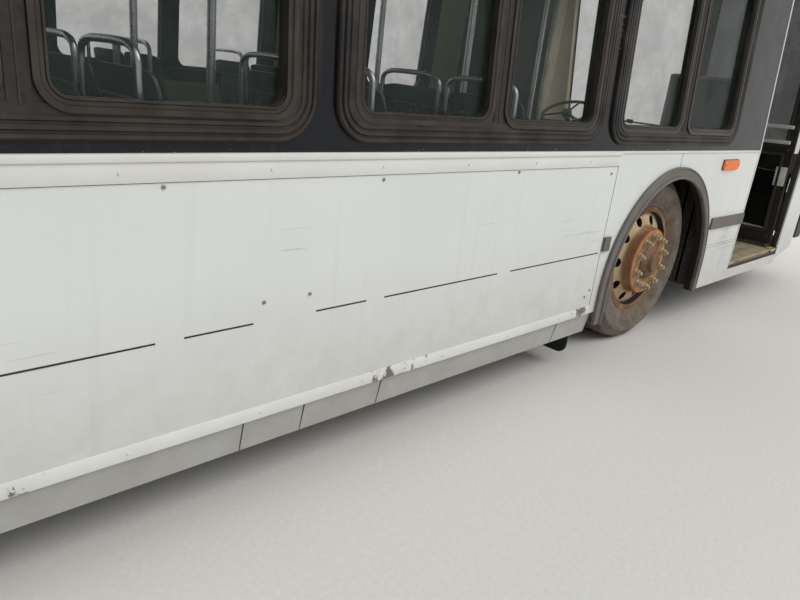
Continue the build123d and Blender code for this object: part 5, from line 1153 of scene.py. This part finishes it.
SEAT_ROWS = [(x, 1, DECK_Z) for x in (2.420, 1.680, 0.940, 0.200, -0.540, -1.280)] + \
    [(x, -1, DECK_Z) for x in (2.420, 1.680, 0.940, 0.200)] + \
    [(x, side, PLATFORM_Z) for x in (-3.600, -4.320) for side in (-1, 1)]
SEAT_FRAME = (
    # ends in X from the seat's front, in Y from the bus's middle and in Z from the floor, and edge
    ((-0.108, -0.072), (0.43, 1.205), (0.368, 0.402), 0.004),
    ((-0.328, -0.292), (0.43, 1.205), (0.368, 0.402), 0.004),
    ((-0.340, -0.060), (0.745, 0.785), (0.345, 0.372), 0.004),
    ((-0.250, -0.205), (0.743, 0.787), (0.004, 0.350), 0.006),
    ((-0.300, -0.155), (0.720, 0.810), (0.000, 0.008), 0.003),
)
# The grab handle as (back from the seat's front, share of its width, height over the floor).
HANDLE_PATH = ((0.515, 0, 0.74), (0.520, 0, 0.90), (0.523, 0, 0.985), (0.523, 0.5, 0.99), (0.523, 1, 0.985),
               (0.520, 1, 0.90), (0.515, 1, 0.74))
HANDLE_WIDTH = 0.36
shells, pads, backs, frames, handles = [], [], [], [], []


def seat_at(spot):
    """One place: a shell with its seat pad and back pad."""
    for piece, copies in ((shell, shells), (seat_pad, pads), (back_pad, backs)):
        copies.append(copy_to(piece, Matrix.Translation(spot)))


for front_x, side, floor_z in SEAT_ROWS:
    for place_y in (0.590, 1.000):
        seat_at((front_x, side * place_y, floor_z))
    for bar_x, bar_y, bar_z, edge in SEAT_FRAME:
        frames.append(strip([front_x + x for x in bar_x], [side * y for y in bar_y],
                            [floor_z + z for z in bar_z], edge))
    for start_y in (0.41, 0.82):
        handles.append(pipe([(front_x - back, side * (start_y + HANDLE_WIDTH * share), floor_z + up)
                             for back, share, up in HANDLE_PATH], 0.0105, 3))
BENCH_X = -5.44
BENCH_Z = 1.180
frames.append(strip((BENCH_X + 0.002, BENCH_X + 0.43), (-1.13, 1.13), (BENCH_Z, BENCH_Z + 0.36), 0.006))
for place_y in (-0.9, -0.45, 0.0, 0.45, 0.9):
    seat_at((BENCH_X + 0.48, place_y, BENCH_Z - 0.045))
for draft in (shell, seat_pad, back_pad):
    bpy.data.objects.remove(draft)
seat_shells = finish_piece(shells, "seat_shells", shell_plastic, "chassis", "seat_fabric", 50)
for cushions, cushion_name in ((pads, "seat_pads"), (backs, "back_pads")):
    finish_piece(cushions, cushion_name, moquette, "chassis", "seat_fabric", 60)
finish_piece(frames, "seat_frames", seat_frame_paint, "chassis", "stainless")
finish_piece(handles, "seat_handles", brushed_stainless, "chassis", "stainless", 50)
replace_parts(seat_shells, "passenger_seats")

# Driver's place
# A sprung seat in black cloth on a bellows pedestal, a moulded dashboard with round gauges and rocker switches, and
# a large wheel with a soft grip.
# Woven cloth: no gloss, black, with threads drawn 4 mm wide to show.
driver_cloth = mottled("black_driver_cloth", "#121316", "#2A2A2D", 0.95, 90, 4, 0.5)
# Grained plastic: dark and half matt, with a leather grain of 3 mm.
dash_plastic = mottled("grained_dash_plastic", "#1C1C1D", "#35332F", 0.55, 260, 3, 0.25)
give(dash_plastic, "dashboard")
DRIVER_PADS = (
    # name, length, width, thickness, swell, place, tilt
    ("driver_cushion", 0.46, 0.48, 0.085, 0.020, (4.72, 0.74, 0.765), -3),
    ("driver_backrest", 0.66, 0.46, 0.075, 0.018, (4.505, 0.74, 1.155), 81),
    ("driver_headrest", 0.17, 0.26, 0.06, 0.014, (4.440, 0.74, 1.565), 81),
)
for soft_name, length, width, thick, swell, place, degrees in DRIVER_PADS:
    soft = tilted(foam_pad(length, width, thick, 0.014, swell), place, degrees)
    finish_piece([soft], soft_name, driver_cloth, "chassis", "driver_fabric", 60)
pedestal = [strip((4.56, 4.84), (0.59, 0.89), (0.340, 0.365), 0.004),
            strip((4.52, 4.90), (0.53, 0.95), (0.680, 0.712), 0.008),
            strip((4.405, 4.470), (0.56, 0.92), (0.80, 1.44), 0.02)]
pedestal += [pipe(((4.455, post_y, 1.40), (4.43, post_y, 1.55)), 0.007) for post_y in (0.69, 0.79)]
for fold_z in spaced(0.368, 0.052, 6):
    pedestal.append(strip((4.575, 4.825), (0.605, 0.875), (fold_z, fold_z + 0.048), 0.018))
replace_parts(finish_piece(pedestal, "driver_seat_frame", dash_plastic, "chassis", "black_plastic"), "driver_seat")

BEZEL_RINGS = ((0.060, 0.0), (0.060, 0.016), (0.054, 0.020), (0.050, 0.016), (0.050, 0.0))
DIAL_RINGS = ((0.050, 0.0), (0.050, 0.006), (0.007, 0.007), (0.006, 0.012), (0.002, 0.012))
bezels, dials = [], []
for gauge_y in (0.58, 0.74, 0.90):
    bezels.append(round_part(BEZEL_RINGS, 32, (5.437, gauge_y, 0.975), (-0.33, 0, 0.94), True))
    dials.append(round_part(DIAL_RINGS, 32, (5.437, gauge_y, 0.975), (-0.33, 0, 0.94)))
for switch_x in (5.462, 5.512):
    for switch_y in spaced(0.16, 0.042, 6):
        switch = strip((-0.018, 0.018), (-0.016, 0.016), (0, 0.008), 0.003)
        bezels.append(tilted(switch, (switch_x, switch_y, 0.978 + 0.36 * (switch_x - 5.44)), -20))
for slot_y in spaced(-0.60, 0.13, 14):
    bezels.append(strip((5.75, 5.772), (slot_y, slot_y + 0.09), (1.000, 1.016), 0.003))
finish_piece(bezels, "dash_fittings", dash_plastic, "chassis", "black_plastic")
# Printed dial: smooth and pale, with no marks.
gauge_face = mottled("pale_gauge_face", "#C9C8C1", "#8F8D86", 0.35, 12, 2, 0.05)
finish_piece(dials, "gauge_dials", gauge_face, "chassis", "black_plastic")

# Partitions, poles and rails
# Dark laminate screens edged in aluminium stand behind the driver and beside the doors. The poles are brushed
# stainless tube, with cast clamps where the hand rails meet them and a flange at floor and ceiling.
# Dark laminate: smooth and half gloss, with brown clouds of 160 mm.
laminate = mottled("dark_partition_laminate", "#3A332C", "#5A5147", 0.45, 160, 2, 0.08)
give(laminate, "partitions")
give(brushed_stainless, "stanchions")
PARTITION_EDGES = (
    # X of the screen's two faces, near and far Y, top Z
    (4.250, 4.280, 0.340, 1.215, 2.000),
    (4.330, 4.360, -1.215, -0.640, 1.500),
    (-0.740, -0.710, -1.215, -0.460, 1.500),
)
edgings = []
for low_x, high_x, low_y, high_y, top_z in PARTITION_EDGES:
    thickness = (low_x - 0.004, high_x + 0.004)
    edgings.append(strip(thickness, (low_y, high_y), (top_z - 0.018, top_z + 0.005), 0.003))
    edgings.append(strip(thickness, about(low_y if low_y > 0 else high_y, 0.012), (0.345, top_z), 0.003))
    edgings.append(strip(thickness, (low_y, high_y), (0.342, 0.375), 0.003))
finish_piece(edgings, "partition_edgings", aluminium, "chassis", "interior_panel")
POLES_X = ((DECK_Z, (4.150, 2.540, 1.060, -0.420, -2.040)), (PLATFORM_Z, (-3.260, -4.600)))
CEILING_Z = 2.855
FLANGE_RINGS = ((0.018, 0.0), (0.042, 0.0), (0.042, 0.004), (0.030, 0.010), (0.024, 0.028), (0.018, 0.028))
fittings, lights = [], []
for side in (-1, 1):
    for floor_z, poles_x in POLES_X:
        for pole_x in poles_x:
            for end_z, way in ((floor_z, 1), (CEILING_Z, -1)):
                fittings.append(round_part(FLANGE_RINGS, 20, (pole_x, side * 0.35, end_z), (0, 0.0001, way), True))
            if not (side < 0 and -2.1 < pole_x < -0.46):
                fittings.append(strip(about(pole_x, 0.026), (side * 0.328, side * 0.402), (1.928, 1.972), 0.010))
    for light_x in spaced(-5.0, 1.4, 7):
        lights.append(strip((light_x, light_x + 1.3), (side * 0.62, side * 0.74), (2.770, 2.800), 0.010))
finish_piece(fittings, "pole_fittings", seat_frame_paint, "chassis", "stainless", 45)
# Frosted acrylic: soft white, with a low gloss.
light_cover = mottled("frosted_light_cover", "#D8D8D2", "#BFBEB6", 0.4, 200, 3, 0.05)
finish_piece(lights, "ceiling_lights", light_cover, "chassis", "interior_panel")

# Nose
# Two bonded windshield halves and a sign window, each in a black rubber surround, with a pair of pantograph wipers.
# Behind the sign glass stands a blank display board. The headlamps are clear mouldings over silvered bowls.
# Laminated glass: clearer and cleaner than the side windows.
screen_glass = tinted_glass("laminated_windshield_glass", "#2E3A37", 0.10)
give(screen_glass, "windshield")
NOSE_X = 6.110
NOSE_HALF = 1.28
BOW_R = 7.6778
BOW_HALF = 0.9442
NOSE_CORNER = (0.895, 5.6548, 0.400)
RAKE_START_Z = 0.96
RAKE_SLOPE = 0.15838


def nose_x(y, z):
    """How far forward the nose's skin is: a shallow bow, round corners, and a rake above the dashboard."""
    corner_y, corner_x, corner_r = NOSE_CORNER
    if abs(y) > BOW_HALF:
        reach = corner_x + max(corner_r ** 2 - (abs(y) - corner_y) ** 2, 0) ** 0.5
    else:
        reach = NOSE_X - BOW_R + (BOW_R ** 2 - y ** 2) ** 0.5
    return reach - max(0.0, z - RAKE_START_Z) * RAKE_SLOPE


def onto_nose(piece, pitch=0.08):
    """Bend a piece drawn upright across the bus at X 0 onto the skin of the nose."""
    cuts = round(NOSE_HALF / pitch)
    select_only(piece)
    with edit_mode():
        for count in range(-cuts, cuts + 1):
            bpy.ops.mesh.select_all(action="SELECT")
            bpy.ops.mesh.bisect(plane_co=(0, count * pitch + 0.001, 0), plane_no=(0, 1, 0))
    for corner in piece.data.vertices:
        corner.co.x += nose_x(corner.co.y, corner.co.z)
    return piece


GLAZING_STEPS = ((0.003, 0.007), (0.010, 0.0), (0.003, -0.004), (0.006, 0.0), (0.002, -0.012))
NOSE_GLASSES = (
    # middle in Y and Z, width, height, corner radius
    (0.576, 1.635, 1.152, 1.274, 0.118),
    (-0.576, 1.635, 1.152, 1.274, 0.118),
    (0.0, 2.475, 1.464, 0.274, 0.058),
)
glazing = []
for middle_y, middle_z, width, height, radius in NOSE_GLASSES:
    rubber = stepped_ring(middle_y, middle_z, width, height, radius, GLAZING_STEPS)
    rubber.data.transform(Matrix.Rotation(pi / 2, 4, "Z"))
    glazing.append(onto_nose(rubber))
finish_piece(glazing, "windshield_rubbers", ribbed_rubber, "chassis", "window_rubber", 30)
# Matt paint: so black that little shows behind the sign glass.
sign_black = mottled("matt_black_sign_board", "#0F0F10", "#1D1C1B", 0.85, 90, 3, 0.1)
sign_board = [strip((5.725, 5.740), (-0.71, 0.71), (2.345, 2.605), 0.004)]
for line_y in spaced(-0.665, 0.095, 15):
    sign_board.append(strip((5.739, 5.743), about(line_y, 0.003), (2.36, 2.59), 0.001))
finish_piece(sign_board, "blank_sign_board", sign_black, "chassis", "black_plastic")
# Painted spring steel: black with a thin metal gleam.
wiper_steel = mottled("black_wiper_steel", "#161616", "#37342F", 0.45, 60, 3, 0.1, 0.4)
WIPER_HUB_RINGS = ((0.019, -0.01), (0.019, 0.020), (0.014, 0.028), (0.002, 0.030))
wipers = []
for side in (-1, 1):
    hub_y, hub_z = side * 0.98, 0.978
    tip_y, tip_z = side * 0.52, 1.100
    blade_y = (side * 0.14, side * 0.88)
    for drop in (0.0, -0.03):
        wipers.append(onto_nose(pipe(((0.020, hub_y, hub_z + drop), (0.032, tip_y, tip_z + drop * 0.6)), 0.006)))
    wipers.append(onto_nose(strip((0.010, 0.026), blade_y, (tip_z - 0.022, tip_z - 0.006), 0.003)))
    wipers.append(onto_nose(strip((0.001, 0.012), blade_y, (tip_z - 0.016, tip_z - 0.011))))
    wipers.append(onto_nose(strip((0.018, 0.036), about(tip_y, 0.03), (tip_z - 0.03, tip_z + 0.01), 0.004)))
    for drop in (0.0, -0.03):
        hub_place = (nose_x(hub_y, hub_z), hub_y, hub_z + drop)
        wipers.append(round_part(WIPER_HUB_RINGS, 16, hub_place, (1, side * 0.35, 0)))
finish_piece(wipers, "wipers", wiper_steel, "chassis", "black_plastic")

# Clear acrylic: glossy, with faint flutes across it under a veil of dust.
lamp_lens, tree, shader, place = start_material("clear_lamp_lens", "#E4E8E8", 0.06)
lens_dust = node(tree, "TexNoise", {"Vector": place, "Scale": 14.0, "Detail": 7.0})
lens_veil = node(tree, "MapRange", {"Value": lens_dust, "From Min": 0.3, "From Max": 0.8, "To Min": 0.10,
                                    "To Max": 0.28})
flutes = node(tree, "TexWave", {"Vector": place, "Scale": 22.0}, bands_direction="Y")
relief = node(tree, "Bump", {"Height": flutes.outputs["Fac"], "Strength": 0.25, "Distance": 0.002})
wire(shader, {"Alpha": lens_veil, "Normal": relief})
give(lamp_lens, "headlamps")
# Silvered bowl: a bright mirror.
lamp_silver = mottled("silvered_lamp_bowl", "#D9DBDC", "#B4B7B9", 0.12, 60, 2, 0.03, 1.0)
bowls, trays, surrounds = [], [], []
for side in (-1, 1):
    for lamp_y, bowl_r in ((0.805, 0.074), (0.975, 0.070)):
        bowl_rings = ((bowl_r, 0.055), (bowl_r - 0.010, 0.030), (bowl_r - 0.030, 0.008), (0.014, 0.0),
                      (0.012, 0.030), (0.006, 0.038), (0.002, 0.038))
        bowls.append(round_part(bowl_rings, 36, (5.925, side * lamp_y, 0.770), (1, side * 0.12, 0)))
    trays.append(strip((5.895, 5.915), (side * 0.705, side * 1.095), (0.672, 0.868), 0.006))
    lamp_ring = stepped_ring(side * 0.9, 0.770, 0.398, 0.208, 0.068, ((0.003, 0.006), (0.008, 0.0), (0.003, -0.010)))
    lamp_ring.data.transform(Matrix.Rotation(pi / 2, 4, "Z"))
    surrounds.append(onto_nose(lamp_ring, 0.04))
finish_piece(bowls, "headlamp_bowls", lamp_silver, "chassis", "lamp_clear", 50)
finish_piece(trays, "headlamp_trays", dash_plastic, "chassis", "black_plastic")
finish_piece(surrounds, "headlamp_surrounds", door_rubber, "chassis", "window_rubber", 30)

# Bumpers and marker lamps
# Self-coloured black polyurethane mouldings with a fine grain, scraped grey at the corners, on hidden brackets, with
# a ribbed insert across the face. Amber markers are screwed to the side panels over rubber gaskets.
# Polyurethane: half matt, with a grain of 3 mm and scrapes that turn it grey.
bumper_moulding = mottled("grained_black_polyurethane", "#1A1A1B", "#4A4641", 0.6, 240, 3, 0.35)
give(bumper_moulding, "bumpers")
ribs = []
for low_z in (0.455, 0.482, 0.509, 0.536):
    ribs.append(onto_nose(strip((0.0615, 0.0675), (-0.86, 0.86), (low_z, low_z + 0.012), 0.003)))
    ribs.append(strip((-6.1775, -6.1715), (-1.08, 1.08), (low_z, low_z + 0.012), 0.003))
finish_piece(ribs, "bumper_ribs", bumper_moulding, "chassis", "bumper_plastic")


def lamp_plastic(name, colour, deep_colour):
    """Moulded acrylic over a lamp: clear-coated colour with fine flutes across it."""
    made = clouded(name, colour, 0.3, (colour, deep_colour), 10.0, 5.0)
    tree, shader, place = made[1:4]
    flutes = node(tree, "TexWave", {"Vector": place, "Scale": 45.0}, bands_direction="DIAGONAL")
    relief = node(tree, "Bump", {"Height": flutes.outputs["Fac"], "Strength": 0.3, "Distance": 0.0015})
    wire(shader, {"Normal": relief, "Specular IOR Level": 0.25})
    return made


# Amber acrylic: a deep, even orange.
give(lamp_plastic("amber_lamp_acrylic", "#F27F0A", "#E05C00")[0], "marker_lamps")
gaskets, marker_screws = [], []
for side in (-1, 1):
    for marker_x in (3.952, -5.250):
        gaskets.append(strip(about(marker_x, 0.116), (side * 1.294, side * 1.2985), (0.978, 1.040), 0.002))
        marker_screws += [screw_head(x, side * 1.3085, 1.009, side, 0.0045) for x in about(marker_x, 0.098)]
finish_piece(gaskets, "marker_gaskets", door_rubber, "chassis", "lamp_amber")
finish_piece(marker_screws, "marker_screws", zinc, "chassis", "lamp_amber")

# Tail
# A pressed engine door on two barrel hinges with a pair of quarter-turn latches, an air intake of black slats over a
# mesh, three round lamps a side in rubber grommets, and a blank plate on its bracket.
# Red acrylic, and amber in the lowest lamp of each side.
tail_lens, tree, shader, place, tones = lamp_plastic("tail_lamp_acrylic", "#A5120F", "#7C0B0A")
heights = node(tree, "SeparateXYZ", {"Vector": place})
amber_low = node(tree, "Math", {0: heights.outputs["Z"], 1: 0.84}, operation="LESS_THAN")
wire(shader, {"Base Color": node(tree, "MixRGB", {"Fac": amber_low, "Color1": tones, "Color2": "#D9640F"})})
give(tail_lens, "tail_lamps")
# Powder coat: matt black, with a fine skin that holds dust.
black_powder = mottled("black_powder_coat", "#151515", "#38342F", 0.6, 140, 3, 0.2)
give(black_powder, "rear_grille")
GROMMET_RINGS = ((0.076, 0.0), (0.074, 0.008), (0.066, 0.012), (0.061, 0.009), (0.061, 0.0))
LATCH_RINGS = ((0.034, 0.0), (0.034, 0.003), (0.028, 0.0055), (0.012, 0.0055), (0.010, 0.0035), (0.002, 0.0035))
TAIL_X = -6.1095
grommets, door_details, louvres, mesh_bars = [], [], [], []
for side in (-1, 1):
    for lamp_z in (0.760, 0.930, 1.100):
        grommets.append(round_part(GROMMET_RINGS, 36, (-6.109, side * 1.050, lamp_z), BACKWARDS, True))
    for hinge_y in (0.54, 0.66):
        door_details.append(strip((-6.1155, -6.1085), (side * hinge_y, side * (hinge_y + 0.045)), (1.405, 1.492),
                                  0.0025))
    door_details.append(round_part(LATCH_RINGS, 24, (TAIL_X, side * 0.62, 0.715), BACKWARDS))
    door_details.append(strip((-6.1165, -6.112), (side * 0.595, side * 0.645), (0.711, 0.719), 0.0015))
finish_piece(grommets, "tail_lamp_grommets", door_rubber, "chassis", "window_rubber", 50)
finish_piece(door_details, "engine_door_fittings", zinc, "engine_door", "white_paint", 40)
for low_z in spaced(0.86, 0.045, 9):
    louvre = strip((-6.1205, TAIL_X), (-0.36, 0.36), (low_z, low_z + 0.026))
    for corner in louvre.data.vertices:
        if corner.co.x < -6.115 and corner.co.z > low_z + 0.013:
            corner.co.x += 0.0105
    louvres.append(finish_with(louvre, rounding(0.002)))
finish_piece(louvres, "engine_door_louvres", white_enamel, "engine_door", "white_paint")
bracket = strip((-6.1165, TAIL_X), (-0.165, 0.165), (1.325, 1.475), 0.002)
finish_piece([bracket], "plate_bracket", black_powder, "engine_door", "black_plastic")
# Painted plate: flat, even white.
plate_paint = mottled("white_plate_paint", "#DEDDD8", "#C3BFB5", 0.4, 80, 3, 0.05)
blank_plate = strip((-6.1195, -6.116), (-0.152, 0.152), (1.335, 1.465), 0.0016)
finish_piece([blank_plate], "blank_number_plate", plate_paint, "engine_door", "white_paint")
for bar_y in spaced(-0.78, 0.06, 27):
    mesh_bars.append(pipe(((-6.062, bar_y, 1.79), (-6.062, bar_y, 2.37)), 0.0025, sides=1))
for bar_z in spaced(1.81, 0.06, 10):
    mesh_bars.append(pipe(((-6.058, -0.80, bar_z), (-6.058, 0.80, bar_z)), 0.0025, sides=1))
finish_piece(mesh_bars, "intake_mesh", black_powder, "chassis", "black_plastic", 60)
intake_frame = stepped_ring(0, 2.080, 1.664, 0.624, 0.052, ((0.003, 0.006), (0.014, 0.0), (0.003, -0.010)))
intake_frame.data.transform(Matrix.Translation((TAIL_X, 0, 0)) @ Matrix.Rotation(-pi / 2, 4, "Z"))
finish_piece([intake_frame], "intake_frame", door_rubber, "chassis", "window_rubber", 30)

# Roof
# Five crosswise joints between the roof panels are bridged with grey sealant, and each escape hatch is a pressed lid
# on a low curb, with ribs across its top and a pull handle inside.
# Brushed-on sealant: half matt grey, soiled in patches of 110 mm.
sealant = mottled("weathered_sealant", "#B3B2AC", "#8B877E", 0.65, 110, 4, 0.25)
ROOF_R = 3.3953
ROOF_CENTRE_Z = -0.4753
CROWN_ANGLE = 0.3087
# The round corner at the eaves: its centre in Y and Z, its radius, how far it turns, and where the roof ends.
EAVES = (0.9527, 2.5117, 0.260)
EAVES_ANGLE = 1.2045
EAVES_FOOT_Z = 2.341


def roof_line(lift):
    """Half of the roof's outline in Y and Z from crown to eaves, a little off its skin."""
    points = []
    for count in range(9):
        angle = CROWN_ANGLE * count / 8
        points.append(((ROOF_R + lift) * sin(angle), ROOF_CENTRE_Z + (ROOF_R + lift) * cos(angle)))
    for count in range(1, 8):
        angle = CROWN_ANGLE + EAVES_ANGLE * count / 7
        points.append((EAVES[0] + (EAVES[2] + lift) * sin(angle), EAVES[1] + (EAVES[2] + lift) * cos(angle)))
    points.append((points[-1][0] + 0.0107, EAVES_FOOT_Z))
    return points


def across_roof(path, half, middle_x, *modifiers):
    """A strip drawn along (y, z) across the roof, with its modifiers applied."""
    sheet = drawn_sheet(tuple(path), -half, half)
    sheet.data.transform(Matrix.Translation((middle_x, 0, 0)) @ Matrix.Rotation(pi / 2, 4, "Z"))
    return finish_with(sheet, *modifiers)


def walls(thickness):
    """The modifier that gives a sheet its thickness, half to each side."""
    return "SOLIDIFY", {"thickness": thickness, "offset": 0.0}


half_roof = roof_line(0.0022)
outline = [(-y, z) for y, z in reversed(half_roof[1:])] + half_roof
bands = [across_roof(outline, 0.022, seam_x, walls(0.004), rounding(0.0015))
         for seam_x in (2.604, 1.196, -0.850, -2.896, -4.304)]
finish_piece(bands, "roof_joint_sealant", sealant, "chassis", "white_paint", 50)
camber = [(y, ROOF_CENTRE_Z + (ROOF_R ** 2 - y ** 2) ** 0.5) for y in (-0.3, -0.2, -0.1, 0.0, 0.1, 0.2, 0.3)]
CURB_HALF = 0.298
# The pull handle inside a lid, as (Y, Z).
HATCH_HANDLE = ((-0.10, 2.925), (-0.10, 2.870), (0.10, 2.870), (0.10, 2.925))
curbs = []
for hatch_x, hatch_name in ((1.900, "hatch_front"), (-3.600, "hatch_rear")):
    for end in (-1, 1):
        curbs.append(across_roof([(y, z - 0.006) for y, z in camber], 0.008, hatch_x + end * CURB_HALF, walls(0.018)))
        curbs.append(strip(about(hatch_x, CURB_HALF), (end * 0.29, end * 0.306), (2.892, 2.9095), 0.002))
    lid_ribs = [across_roof([(y, z + 0.0475) for y, z in camber[1:-1]], 0.016, rib_x, walls(0.006), rounding(0.002))
                for rib_x in spaced(hatch_x - 0.21, 0.14, 4)]
    finish_piece(lid_ribs, hatch_name + "_ribs", white_enamel, hatch_name, "white_paint", 50)
    handle = pipe([(hatch_x - 0.22, y, z) for y, z in HATCH_HANDLE], 0.009, 3)
    finish_piece([handle], hatch_name + "_handle", black_powder, hatch_name, "white_paint", 50)
finish_piece(curbs, "hatch_curbs", door_rubber, "chassis", "window_rubber", 50)

# Mirrors
# Black moulded heads on bent steel arms, each with a tall flat glass over a small wide-angle one, facing back.
# Moulded plastic: half matt black with a fine grain.
give(mottled("mirror_housing_plastic", "#19191A", "#3A3733", 0.5, 130, 3, 0.25), "mirrors")
# Silvered glass: a clean mirror, dulled by a few water spots of 33 mm.
mirror_glass, tree, shader, place = start_material("silvered_mirror_glass", "#C9CED0", 0.03, 1.0)
spots = node(tree, "TexNoise", {"Vector": place, "Scale": 30.0, "Detail": 7.0})
spot_dull = node(tree, "MapRange", {"Value": spots, "From Min": 0.5, "From Max": 0.8, "To Min": 0.02, "To Max": 0.25})
wire(shader, {"Roughness": spot_dull})
glasses, rims = [], []
for side in (-1, 1):
    near, far = sorted((side * 1.332, side * 1.508))
    for low_z, high_z in ((1.865, 2.108), (1.742, 1.845)):
        glasses.append(strip((5.9225, 5.9265), (near, far), (low_z, high_z), 0.0018))
        rim = stepped_ring(0, (low_z + high_z) / 2, far - near + 0.014, high_z - low_z + 0.014, 0.012,
                           ((0.002, 0.006), (0.005, 0.0), (0.002, -0.005)))
        rim.data.transform(Matrix.Translation((5.9255, (near + far) / 2, 0)) @ Matrix.Rotation(-pi / 2, 4, "Z"))
        rims.append(rim)
    rims.append(pipe(((5.548, side * 1.214, 2.206), (5.60, side * 1.240, 2.2135)), 0.023, sides=4))
    for clamp_z in (1.80, 2.05):
        rims.append(strip((5.938, 5.982), (side * 1.400, side * 1.440), about(clamp_z, 0.02), 0.006))
finish_piece(glasses, "mirror_glasses", mirror_glass, "chassis", "black_plastic")
finish_piece(rims, "mirror_rims", door_rubber, "chassis", "black_plastic", 40)
